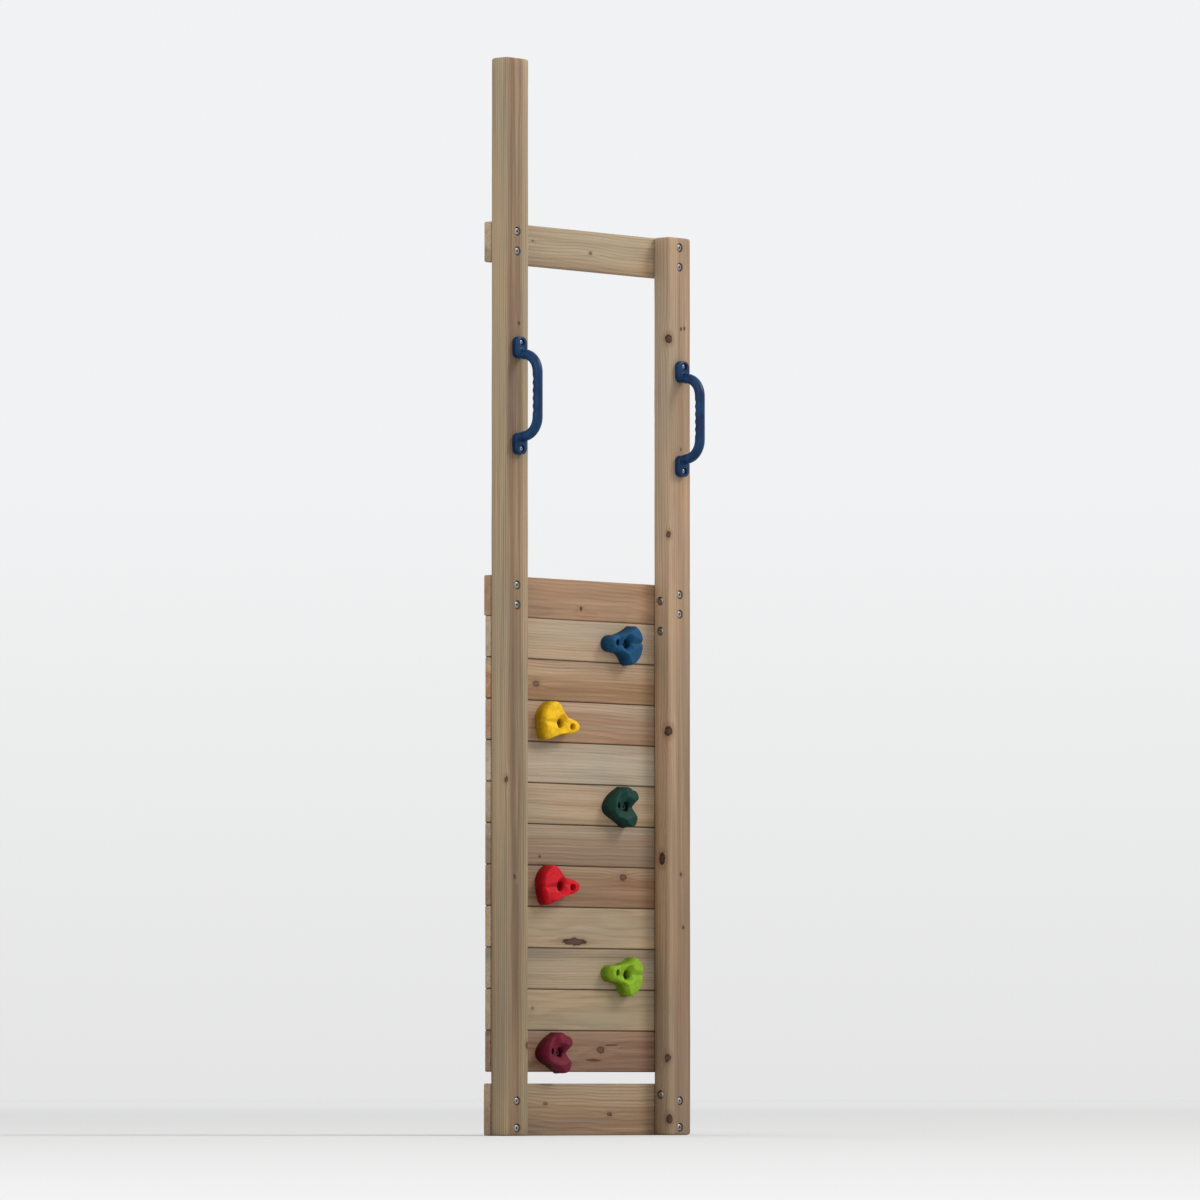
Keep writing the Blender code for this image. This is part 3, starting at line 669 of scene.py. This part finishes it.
BOARD_SEAM = 0.0005  # the gap between one modelled board and the next, closed up here
WOOD_SLOTS = ("wood_tan", "wood_pink", "wood_brown")

def look(light, dark, pith, heart, spacing, contrast, *knots, **more):
    """What wood() takes, with the pith and the knots measured across from the piece's middle."""
    return dict(light=light, dark=dark, pith=pith, heart=heart, spacing=spacing, contrast=contrast,
                knots=knots, **more)


# From the top board down.
BOARD_LOOKS = (
    look((180, 159, 136), (166, 141, 119), (0.115, 0.04), 0.02, 0.0058, 0.22),
    look((182, 156, 129), (160, 124, 92), (-0.06, 0.03), 0.086, 0.0062, 0.34,
         (-0.149, -0.008, 0.006, 0.6, 1.6)),
    look((174, 150, 129), (161, 129, 104), (-0.045, 0.05), 0.086, 0.0052, 0.3),
    look((178, 162, 144), (162, 143, 121), (0.12, 0.06), 0.112, 0.006, 0.2),
    look((173, 154, 131), (156, 136, 109), (-0.13, 0.05), 0.118, 0.0055, 0.22),
    look((163, 146, 126), (145, 122, 101), (-0.06, 0.045), 0.094, 0.0048, 0.3,
         (-0.1375, -0.025, 0.0028, 1.0, 1.0)),
    look((150, 126, 104), (141, 110, 86), (-0.065, 0.05), 0.108, 0.0054, 0.34,
         (0.1235, 0.0225, 0.0085, 0.8, 1.3)),
    look((169, 149, 124), (150, 127, 98), (0.02, 0.11), 0.112, 0.0062, 0.24,
         (-0.03, -0.029, 0.0085, 1.0, 4.6)),
    look((160, 146, 125), (142, 126, 106), (0.105, 0.035), 0.096, 0.0052, 0.28),
    look((161, 144, 119), (150, 134, 107), (-0.015, 0.095), 0.092, 0.0064, 0.24,
         (-0.16, 0.004, 0.003, 0.5, 1.2)),
    look((145, 120, 102), (130, 101, 82), (-0.02, 0.055), 0.1, 0.0056, 0.46,
         (0.052, 0.004, 0.0075, 0.8, 1.7), (0.03, -0.018, 0.003, 1.0, 8.0),
         (0.085, 0.014, 0.0022, 0.9, 9.0)),
)


def finish_timber(piece, node, along, seed, slot, cutters, look, **more):
    """Drills a piece of timber, and gives it its wood."""
    boolean(piece, cutters)
    centre = middle(node).z if along == "X" else middle(node).x
    across, depth = look["pith"]
    knots = [(a, centre + b, *rest) for a, b, *rest in look["knots"]]
    placed = {**look, "pith": (centre + across, depth), "knots": knots, **more}
    finished(piece, node, slot, wood(piece.name, along, seed, **placed))


def build_boards():
    for number, node in enumerate(BOARDS, 1):
        board = timber(f"board_{number:02d}", node, "X", 0.0024, number, BOARD_SEAM - 0.00004)
        cutters = []
        low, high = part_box(node)
        for *_, point in hold_bolt_places():
            if low.z < point.z < high.z:
                at = Vector((point.x, BOARD_BACK, point.z))
                cutters.append(bore(at, BACK, -T_NUT_LENGTH, 0.005, T_NUT_BARREL + CLEARANCE, sides=24))
                cutters.append(bore(at, BACK, -0.05, -T_NUT_LENGTH + OVERCUT, HOLD_SHANK + CLEARANCE, sides=24))
        for point in board_screw_places(node):
            cutters.append(bore(point, BACK, *COUNTERSINK, BOARD_SCREW_SHANK, COUNTERSINK_RIM, sides=24))
        finish_timber(board, node, "X", number, WOOD_SLOTS[number % 3], cutters, BOARD_LOOKS[number - 1],
                      joints=(low.z, high.z))


RAIL_LOOKS = {
    "rail": look((180, 160, 134), (164, 138, 112), (-0.08, 0.05), 0.086, 0.0054, 0.3,
         (0.02, -0.004, 0.003, 0.7, 1.6), (-0.16, 0.01, 0.0025, 0.5, 1.4)),
    "rim": look((178, 146, 121), (166, 132, 105), (-0.03, 0.06), 0.1, 0.005, 0.3,
         (-0.009, -0.017, 0.005, 1.0, 0.7)),
    "base": look((160, 140, 116), (140, 116, 94), (-0.07, 0.06), 0.106, 0.0056, 0.4,
         (0.08, -0.01, 0.0046, 0.8, 1.8), (-0.12, 0.012, 0.0036, 0.6, 2.0)),
}


def build_rails():
    for seed, ((rail, node), slot) in enumerate(zip(RAILS.items(), WOOD_SLOTS), 21):
        board = timber(f"{rail}_timber", node, "X", 0.0030, seed)
        cutters = []
        for _, which, _, point in frame_bolt_places():
            if which == rail:
                cutters.append(bore(point, FRONT, -THROUGH, 0.0, FRAME_SHANK + CLEARANCE, sides=24))
        finish_timber(board, node, "X", seed, slot, cutters, RAIL_LOOKS[rail])


# A post's knot is (height, across from the post's middle, radius, darkness, stretch, depth).
POST_LOOKS = {
    "left": look((173, 154, 127), (132, 107, 86), (-0.008, -0.078), 0.0308, 0.0046, 0.34,
         (1.716, 0.004, 0.0034, 0.9, 1.3, -0.055), (0.545, -0.008, 0.0038, 0.9, 1.3, -0.055),
         (0.75, -0.032, 0.0044, 0.8, 1.6, -0.053), (0.19, 0.03, 0.0044, 0.8, 1.6, -0.055), tilt=0.005,
         shade=(0.2, 1.5, 0.74)),
    "right": look((180, 155, 130), (165, 138, 115), (0.02, -0.075), 0.04, 0.005, 0.3,
         (0.866, -0.033, 0.01, 1.0, 1.1, -0.052), (1.712, -0.033, 0.009, 1.0, 1.1, -0.052),
         (1.29, -0.033, 0.0055, 0.9, 1.3, -0.053), (0.592, -0.036, 0.009, 1.0, 1.5, -0.035),
         (0.559, 0.003, 0.0032, 0.8, 1.2, -0.055), (0.445, 0.01, 0.0034, 0.8, 1.2, -0.055),
         (1.735, 0.004, 0.0028, 1.0, 1.2, -0.055), (1.737, 0.015, 0.0028, 1.0, 1.2, -0.055),
         (0.165, -0.034, 0.007, 0.8, 1.4, -0.05), (0.034, -0.032, 0.008, 1.0, 1.3, -0.053),
         (1.475, 0.003, 0.0026, 0.7, 1.2, -0.055), tilt=0.006, shade=(0.15, 1.4, 0.7)),
}


def build_posts():
    for seed, (side, node) in enumerate(POSTS.items(), 31):
        post = timber(f"{side}_post", node, "Z", 0.0050, seed)
        cutters = []
        for _, _, which, point in frame_bolt_places():
            if which == side:
                cutters += counterbore_cutters(point, FRONT)
        if side == "right":
            for _, point in tie_bolt_places():
                cutters += counterbore_cutters(point, LEFT)
        for _, which, point in grip_screw_places():
            if which == side:
                cutters.append(bore(point, FRONT, -0.037, 0.005, GRIP_SCREW + GAP, sides=24))
        finish_timber(post, node, "Z", seed, "wood_post", cutters, POST_LOOKS[side])


# ------------ fasteners

def frame_bolt(name, grip):
    """A button-head socket bolt on +Z: its head's seat at 0, its washer, nut and threaded end below -grip."""
    tip, nut_seat = -grip - FRAME_TIP, -grip - FRAME_WASHER_DEPTH
    nut_end = nut_seat - FRAME_NUT_HEIGHT
    nut = hexagon(FRAME_NUT)
    socket = hexagon(FRAME_SOCKET)
    chamfer = 0.0007

    def rounded_nut(angle):
        return min(nut(angle), FRAME_NUT / 2 * 1.09)
    sections = [(tip, FRAME_SHANK - 0.0010)]
    sections += screw_thread(tip + 0.0004, nut_end - 0.0001, FRAME_SHANK)
    sections += [
        (nut_end, FRAME_SHANK + 0.0002),
        (nut_end, FRAME_NUT / 2 * 0.98),
        (nut_end + chamfer, rounded_nut),
        (nut_end + chamfer * 1.6, nut),
        (nut_seat - chamfer, nut),
        (nut_seat, FRAME_NUT / 2 * 1.02),
        (nut_seat, FRAME_WASHER - 0.0003),
        (nut_seat + 0.0003, FRAME_WASHER),
        (-grip - 0.0002, FRAME_WASHER),
        (-grip, FRAME_WASHER - 0.0002),
        (-grip, FRAME_SHANK),
        (0, FRAME_SHANK),
        (0, FRAME_HEAD - 0.0003),
        (0.0003, FRAME_HEAD),
    ]
    for k in range(9):
        t = k / 8
        sections.append((
            0.0010 + (FRAME_HEAD_HEIGHT - 0.0010) * math.sin(t * math.pi / 2),
            FRAME_HEAD * (0.52 + 0.48 * math.cos(t * math.pi / 2)),
        ))
    sections += [
        (FRAME_HEAD_HEIGHT, lambda angle: socket(angle) + 0.0004),
        (FRAME_HEAD_HEIGHT - 0.0004, socket),
        (FRAME_HEAD_HEIGHT * 0.35, socket),
    ]
    return turned(name, sections)


def build_frame_bolts(steel):
    seat = POST_FRONT + COUNTERBORE_DEPTH - GAP
    grip = RAIL_BACK + GAP - seat
    for node, _, _, point in frame_bolt_places():
        bolt = place(frame_bolt("steel_" + node, grip), Vector((point.x, seat, point.z)), FRONT)
        finished(bolt, node, "steel", steel)
    low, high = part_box("post_right")
    for node, point in tie_bolt_places():
        bolt = frame_bolt("steel_" + node, high.x - low.x - COUNTERBORE_DEPTH + 2 * GAP)
        place(bolt, point + RIGHT * (COUNTERBORE_DEPTH - GAP), LEFT)
        finished(bolt, node, "steel", steel)


def build_hold_bolts(steel, recess_shaded_steel):
    depth = BOARD_BACK - BOARD_FRONT
    socket = hexagon(HOLD_SOCKET)
    for colour, _, _, point in hold_bolt_places():
        def knurled(angle):
            return HOLD_HEAD - 0.00018 * (0.5 + 0.5 * math.cos(angle * 36))
        tip = -HOLD_SEAT - depth - HOLD_TIP
        sections = [(tip, HOLD_SHANK - 0.0010)]
        sections += screw_thread(tip + 0.0004, -HOLD_SEAT - 0.004, HOLD_SHANK)
        sections += [
            (-HOLD_SEAT - 0.002, HOLD_SHANK),
            (0, HOLD_SHANK),
            (0, HOLD_WASHER - 0.0002),
            (0.0002, HOLD_WASHER),
            (HOLD_WASHER_DEPTH - 0.0002, HOLD_WASHER),
            (HOLD_WASHER_DEPTH, HOLD_WASHER - 0.0002),
            (HOLD_WASHER_DEPTH, HOLD_HEAD - 0.0002),
            (HOLD_WASHER_DEPTH + 0.0002, knurled),
            (HOLD_HEAD_HEIGHT - 0.0002, knurled),
            (HOLD_HEAD_HEIGHT + 0.0008, HOLD_HEAD - 0.0009),
            (HOLD_HEAD_HEIGHT + 0.0008, lambda angle: socket(angle) + 0.0003),
            (HOLD_HEAD_HEIGHT + 0.0005, socket),
            (HOLD_HEAD_HEIGHT / 2, socket),
        ]
        bolt = turned("steel_hold_bolt_" + colour, sections, sides=72)
        place(bolt, point + FRONT * (HOLD_SEAT + GAP), FRONT)
        finished(bolt, "hold_bolt_" + colour, "steel", recess_shaded_steel)

        def notched(angle):
            """The flange's rim, with three gaps where its prongs are bent into the wood."""
            return T_NUT_FLANGE - 0.0030 * (math.cos(3 * angle) > 0.93)
        inner = HOLD_SHANK + GAP
        nut = turned("steel_t_nut_" + colour, [
            (-T_NUT_LENGTH + GAP, inner),
            (-T_NUT_LENGTH + GAP, T_NUT_BARREL - 0.0003),
            (-T_NUT_LENGTH + 0.0006, T_NUT_BARREL),
            (0, T_NUT_BARREL),
            (0, notched),
            (T_NUT_FLANGE_DEPTH - 0.0003, notched),
            (T_NUT_FLANGE_DEPTH, lambda angle: notched(angle) - 0.0003),
            (T_NUT_FLANGE_DEPTH, inner + 0.0004),
            (T_NUT_FLANGE_DEPTH - 0.0004, inner),
        ], sides=72, looped=True)
        place(nut, Vector((point.x, BOARD_BACK + GAP, point.z)), BACK)
        finished(nut, "t_nut_" + colour, "steel", steel)


def cross_recess(radius, angle):
    """Radius of a four-armed driver recess at an angle."""
    arm = abs(math.cos(2 * angle)) ** 6
    return radius * (0.42 + 0.58 * arm)


def build_grip_screws(steel):
    for node, _, point in grip_screw_places():
        top = GRIP_SCREW_HEAD_HEIGHT
        sections = [(-0.0430, 0.0003), (-0.0395, GRIP_SCREW - 0.0008)]
        sections += [(-0.0390 + 0.0270 * k / 40, GRIP_SCREW - 0.0007 * (k % 2)) for k in range(41)]
        sections += [
            (0, GRIP_SCREW), (0, GRIP_SCREW_HEAD - 0.0002), (0.0002, GRIP_SCREW_HEAD),
            (top * 0.45, GRIP_SCREW_HEAD * 0.93), (top * 0.75, GRIP_SCREW_HEAD * 0.78),
            (top, GRIP_SCREW_HEAD * 0.52),
            (top, lambda angle: cross_recess(0.0029, angle)),
            (top * 0.35, lambda angle: cross_recess(0.0016, angle)),
        ]
        screw = turned("steel_" + node, sections)
        place(screw, point + FRONT * (GRIP_SCREW_SEAT + GAP), FRONT)
        finished(screw, node, "steel", steel)


def build_board_screws(steel):
    """Countersunk screws that hold each board to both posts, driven from behind."""
    for number, board in enumerate(BOARDS, 1):
        screws = []
        for point in board_screw_places(board):
            screw = turned("screw", [
                (-0.0440, 0.0002), (-0.0410, BOARD_SCREW_SHANK - 0.0006),
                *[(-0.0400 + 0.024 * k / 30, BOARD_SCREW_SHANK - 0.0006 * (k % 2)) for k in range(31)],
                (-0.0024, BOARD_SCREW_SHANK - 0.0004),
                (-0.0002, BOARD_SCREW_HEAD - 0.0001),
                (0.0, BOARD_SCREW_HEAD),
                (0.0001, BOARD_SCREW_HEAD - 0.0003),
                (0.0001, lambda angle: cross_recess(0.0023, angle)),
                (-0.0016, lambda angle: cross_recess(0.0012, angle)),
            ], sides=24)
            screw.data.transform(Matrix.Rotation(point.x * 37.0 + point.z * 91.0, 4, "Z"))
            screws.append(place(screw, point + FRONT * 0.0004, BACK))
        finished(joined(f"steel_board_screws_{number:02d}", screws), None, "steel", steel)


# ------------ holds

def catmull_rom(a, b, c, d, t):
    return b + t / 2 * (c - a + t * (2 * a - 5 * b + 4 * c - d + t * (3 * (b - c) + d - a)))


def outline_point(mould, share):
    """A point on a mould's outline, a closed smooth curve through its corners, at a share of the way round."""
    corners = OUTLINES[mould]
    k, t = divmod(share * len(corners), 1)
    four = [corners[(int(k) + step) % len(corners)] for step in (-1, 0, 1, 2)]
    return tuple(catmull_rom(*(corner[axis] for corner in four), t) for axis in (0, 1))


NEARBY = 0.004  # share of the way round an outline over which its direction is measured


def edge_point(mould, share, inset):
    """A point on a mould's outline, moved inwards square to it."""
    x, z = outline_point(mould, share)
    (x0, z0), (x1, z1) = (outline_point(mould, (share + step) % 1) for step in (-NEARBY, NEARBY))
    length = math.hypot(x1 - x0, z1 - z0)
    return x - inset * (z1 - z0) / length, z + inset * (x1 - x0) / length


def smooth_step(x, low, high):
    t = min(1.0, max(0.0, (x - low) / (high - low)))
    return t * t * (3 - 2 * t)


def rounded_least(values):
    """The least of some heights, with the crease between two of them rounded."""
    least = values[0]
    for value in values[1:]:
        blend = max(0.0, CREASE - abs(least - value)) / CREASE
        least = min(least, value) - blend * blend * CREASE / 4
    return least


def crown(mould, x, z):
    """Height of a mould's front above the board."""
    lobes = [rounded_least([c + a * x + b * z for c, a, b in facets]) for facets in LOBES[mould]]
    dish = DISH_FLOOR + DISH_SLOPE * max(0.0, math.hypot(x, z) - DISH_RADIUS)
    return rounded_least([-rounded_least([-height for height in lobes]), dish])


HOLD_SIDES, HOLD_STEPS, HOLD_SHOULDER_STEPS = 168, 34, 12
# A hold's skin: (cycles a metre, height) of its bumps, and how far it is set back to make room for them.
SKIN_BUMPS, SKIN_SETBACK = ((260.0, 0.00024), (95.0, 0.00060)), 0.0005
SKIN_STEP = 0.001  # distance over which the way out from the outline is measured


def hold_shape(name, mould, seed):
    """A rough moulded hold on +Z, its main bolt on the axis: flat back at 0, steep sides, faceted crown."""
    profile = []
    for k in range(HOLD_SHOULDER_STEPS + 1):
        t = k / HOLD_SHOULDER_STEPS
        profile.append((SHOULDER * t ** 2.6, math.sin(t * math.pi / 2) ** 0.75, 1.0))
    for k in range(1, HOLD_STEPS + 1):
        profile.append((SHOULDER, 1.0, 1 - 0.96 * k / HOLD_STEPS))
    offset = Vector((seed * 1.7, seed * 2.3, seed * 0.9))
    rings = []
    for inset, rise, scale in profile:
        ring = []
        for i in range(HOLD_SIDES):
            share = i / HOLD_SIDES
            x, z = (scale * value for value in edge_point(mould, share, inset))
            outer = edge_point(mould, share, inset - SKIN_STEP)
            point = Vector((x, z, crown(mould, x, z) * rise))
            if rise > 0:
                bumps = sum(noise.noise(point * cycles + offset) * height for cycles, height in SKIN_BUMPS)
                flat = smooth_step(rise, 0.55, 1.0)
                level = (1 - flat) / SKIN_STEP
                away = Vector(((outer[0] - x) * level, (outer[1] - z) * level, flat))
                point += away * (bumps * smooth_step(rise, 0.0, 0.3) - SKIN_SETBACK)
            ring.append(point)
        rings.append(ring)
    vertices, faces = joined_rings(rings)
    return mesh_object(name, vertices, faces, smooth_angle=60)


HOLD_COLOURS = {  # the plastic and its scuffed edges, display colours
    "blue": ((2, 70, 108), (26, 114, 158)),
    "yellow": ((226, 178, 8), (246, 216, 84)),
    "dark_green": ((4, 52, 44), (24, 88, 74)),
    "red": ((190, 4, 26), (222, 38, 56)),
    "lime": ((126, 164, 24), (168, 202, 70)),
    "maroon": ((100, 12, 36), (142, 44, 70)),
}


def build_holds(steel):
    for seed, (colour, mould, turn, bolt_at) in enumerate(hold_bolt_places(), 1):
        upright = Matrix.Rotation(math.pi / 2, 4, "X") @ Matrix.Rotation(math.radians(turn), 4, "Z")
        lock_at = bolt_at + (upright @ Vector((*HOLD_LOCK[mould], 0)))
        stone = hold_shape("stone_" + colour, mould, seed)
        stone.data.transform(Matrix.Translation(bolt_at + FRONT * GAP) @ upright)
        cutters = [
            bore(bolt_at, FRONT, HOLD_SEAT, BEYOND, HOLD_RECESS, HOLD_RECESS + 0.006, sides=48),
            bore(bolt_at, FRONT, -OVERCUT, HOLD_SEAT + OVERCUT, HOLD_SHANK + CLEARANCE),
            bore(lock_at, FRONT, LOCK_SEAT, BEYOND, LOCK_RECESS - 0.0006, LOCK_RECESS + 0.004, sides=48),
            bore(lock_at, FRONT, -OVERCUT, LOCK_SEAT + OVERCUT, LOCK_SCREW + CLEARANCE),
        ]
        boolean(stone, cutters, smooth_angle=45)
        resin = moulded_plastic("resin_" + colour, *HOLD_COLOURS[colour])
        finished(stone, "hold_" + colour, "plastic_" + colour, resin)
        lock = turned("lock_screw_" + colour, [
            (-0.022, 0.0003), (-0.019, 0.0019),
            *[(-0.0185 + 0.016 * k / 22, 0.0024 - 0.0005 * (k % 2)) for k in range(23)],
            (0, 0.0024), (0, 0.0042), (0.0003, 0.0044), (0.0014, 0.0041), (0.0024, 0.0030),
            (0.0026, 0.0022),
            (0.0026, lambda angle: cross_recess(0.0019, angle)),
            (0.0010, lambda angle: cross_recess(0.0011, angle)),
        ], sides=32)
        place(lock, lock_at + FRONT * (LOCK_SEAT + GAP), FRONT)
        finished(lock, None, "steel", steel)


# ------------ grips

def grip_path(steps, straight):
    """(y, z) points along a grip, from its lower pad to its upper pad, with y measured out from the post."""
    foot = GRIP_PAD_HEIGHT - GRIP_RADIUS - 0.001
    lower = [(GRIP_PAD_DEPTH * 0.45, foot)]
    for k in range(steps + 1):
        angle = math.pi / 2 * k / steps
        y = GRIP_REACH - GRIP_BEND + GRIP_BEND * math.sin(angle)
        lower.append((y, foot + 0.004 + GRIP_BEND - GRIP_BEND * math.cos(angle)))
    upper = [(y, GRIP_LENGTH - z) for y, z in reversed(lower)]
    first, last = lower[-1][1], upper[0][1]
    return lower + [(GRIP_REACH, first + (last - first) * k / straight) for k in range(1, straight)] + upper


def grip_bar():
    path = grip_path(16, 110)
    sides, centre = 48, GRIP_LENGTH / 2
    rings = []
    for k, (y, z) in enumerate(path):
        before, after = path[max(k - 1, 0)], path[min(k + 1, len(path) - 1)]
        along = Vector((0, after[0] - before[0], after[1] - before[1])).normalized()
        outward = Vector((0, along.z, -along.y))
        half = FINGERS * FINGER_PITCH / 2
        nearness = 1 - smooth_step(abs(z - centre), half, half + 0.004)
        wave = (1 - math.cos(2 * math.pi * (z - centre) / FINGER_PITCH + math.pi * (FINGERS % 2))) / 2
        ring = []
        for i in range(sides):
            angle = 2 * math.pi * i / sides
            side_on, depth_on = math.sin(angle), math.cos(angle)
            r = GRIP_RADIUS - FINGER_DEPTH * nearness * wave * max(0.0, -depth_on) ** 0.7
            ring.append(Vector((0, y, z)) + outward * (r * depth_on) + Vector((r * side_on, 0, 0)))
        rings.append(ring)
    vertices, faces = joined_rings(rings)
    return mesh_object("grip_bar", vertices, faces)


def grip_pad(height):
    """An end pad with a rounded front edge."""
    half_width, half_height, corner = GRIP_PAD_WIDTH / 2, GRIP_PAD_HEIGHT / 2, GRIP_PAD_CORNER
    outline = []
    for quarter in range(4):
        cx = (half_width - corner) * (1 if quarter in (0, 3) else -1)
        cz = (half_height - corner) * (1 if quarter in (0, 1) else -1)
        for k in range(13):
            angle = math.pi / 2 * (quarter + k / 12)
            outline.append((cx + corner * math.cos(angle), cz + corner * math.sin(angle)))
    rings = []
    edge = 0.004
    levels = [(0.0, 0.0006), (0.0006, 0.0)]
    for k in range(7):
        angle = math.pi / 2 * k / 6
        levels.append((GRIP_PAD_DEPTH - edge + edge * math.sin(angle), edge * (1 - math.cos(angle))))
    for y, inset in levels:
        fx, fz = 1 - inset / half_width, 1 - inset / half_height
        rings.append([(x * fx, y, z * fz + height) for x, z in outline])
    vertices, faces = joined_rings(rings)
    return mesh_object("pad", vertices, faces)


def build_grips(plastic):
    for side in POSTS:
        node = "handle_" + side
        low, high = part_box(node)
        bar = grip_bar()
        bar.name = side + "_grip"
        pads = [grip_pad(height) for height in (GRIP_PAD_HEIGHT / 2, GRIP_LENGTH - GRIP_PAD_HEIGHT / 2)]
        boolean(bar, pads, "UNION")
        remesh = bar.modifiers.new("skin", "REMESH")
        remesh.mode = "VOXEL"
        remesh.voxel_size = 0.0011
        soften = bar.modifiers.new("fillets", "SMOOTH")
        soften.factor, soften.iterations = 0.5, 5
        bpy.context.view_layer.update()
        evaluated(bar)
        foot = Matrix.Translation(((low.x + high.x) / 2, POST_FRONT - GAP, low.z))
        bar.data.transform(foot @ Matrix.Scale(-1, 4, (0, 1, 0)))
        bar.data.flip_normals()
        cutters = []
        for _, which, point in grip_screw_places():
            if which == side:
                cutters.append(bore(point, FRONT, GRIP_SCREW_SEAT, 0.030, GRIP_SCREW_HEAD + 0.0006,
                                    GRIP_SCREW_HEAD + 0.0030, sides=48))
                cutters.append(bore(point, FRONT, -0.01, GRIP_SCREW_SEAT + 0.001, GRIP_SCREW + CLEARANCE))
        boolean(bar, cutters, smooth_angle=50)
        finished(bar, node, "plastic_grip", plastic)


# ------------ stage

CAMERA_AZIMUTH, CAMERA_DISTANCE, CAMERA_HEIGHT = math.radians(-47.1), 19.07, 0.093
FRAME_HEIGHT = 2.56  # metres that the picture spans at the object
SKY = 0.90  # strength of the light from all round
HAZE, ZENITH, HAZE_TOP = (0.87, 0.87, 0.87, 1.0), (0.985, 0.99, 1.0, 1.0), 0.07
FLOOR_SIZE, FLOOR_PALEST_AT = 60.0, 46.0


def stage():
    centre = (CAD_BOX[0] + CAD_BOX[1]) / 2
    mesh = bpy.data.meshes.new("floor")
    corners = [(a * FLOOR_SIZE, b * FLOOR_SIZE, 0) for a, b in ((-1, -1), (1, -1), (1, 1), (-1, 1))]
    mesh.from_pydata(corners, [], [(0, 1, 2, 3)])
    floor = linked("floor", mesh)
    floor.location.z = -0.0002
    n = new_material("pale_floor")
    cloud = n.noise(n.position, 3.0, 3.0)
    x, y, _ = n.split(n.position)
    # Palest far off, where the lamps do not reach, so that the floor runs evenly into the backdrop.
    far = n.rise(n.distance(x, y), 0.0, FLOOR_PALEST_AT)
    colour = n.mix(far, (0.585, 0.585, 0.582, 1.0), (0.835, 0.835, 0.83, 1.0))
    colour = n.mix(n.times(cloud, 0.04), colour, (0.5, 0.5, 0.5, 1.0))
    mesh.materials.append(n.finish(colour, 0.8, cloud, 0.02, 0.001, Specular_IOR_Level=0.3))
    floor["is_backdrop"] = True

    world = bpy.data.worlds.new("studio")
    bpy.context.scene.world = world
    n = Nodes(world, "Background")
    height = n.node("ShaderNodeMapRange", {"Value": n.split(n.places["Generated"])["Z"], "From Max": HAZE_TOP})
    n.feed(n.shader.inputs["Color"], n.mix(height.outputs[0], HAZE, ZENITH))
    n.feed(n.shader.inputs["Strength"], SKY)

    for name, place_at, size, power, colour in (
        ("key", (12.6, -16.8, 18.6), 9.0, 3780.0, (1.0, 0.97, 0.93)),
        ("fill", (-19.5, -6.0, 10.8), 12.0, 1350.0, (0.96, 0.98, 1.0)),
    ):
        light = bpy.data.lights.new(name, "AREA")
        light.size, light.energy, light.color = size, power, colour
        lamp = linked(name, light)
        lamp.location = place_at
        lamp.rotation_euler = (Vector(centre) - lamp.location).to_track_quat("-Z", "Y").to_euler()

    camera = bpy.data.cameras.new("camera")
    view = linked("camera", camera)
    view.location = (
        centre.x + CAMERA_DISTANCE * math.sin(CAMERA_AZIMUTH),
        centre.y - CAMERA_DISTANCE * math.cos(CAMERA_AZIMUTH),
        CAMERA_HEIGHT,
    )
    towards = centre - view.location
    view.rotation_euler = towards.to_track_quat("-Z", "Y").to_euler()
    camera.sensor_width = 36.0
    camera.lens = camera.sensor_width * towards.length / FRAME_HEIGHT
    camera.clip_end = 200.0
    bpy.context.scene.camera = view
    bpy.context.scene.view_settings.view_transform = "Standard"


def main():
    steel = zinc_steel("zinc_steel", 0.62)
    # Dimmed far down: painted shade for the bolts and lock screws down in the holds' recesses.
    recess_shaded_steel = zinc_steel("recess_shaded_steel", 0.16)
    build_boards()
    build_rails()
    build_posts()
    build_frame_bolts(steel)
    build_hold_bolts(steel, recess_shaded_steel)
    build_grip_screws(steel)
    build_board_screws(steel)
    build_holds(recess_shaded_steel)
    build_grips(grip_plastic())
    stage()


main()
boxes = {"cad": CAD_BOX, "visual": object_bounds()}
{name: [list(corner) for corner in box] for name, box in boxes.items()}
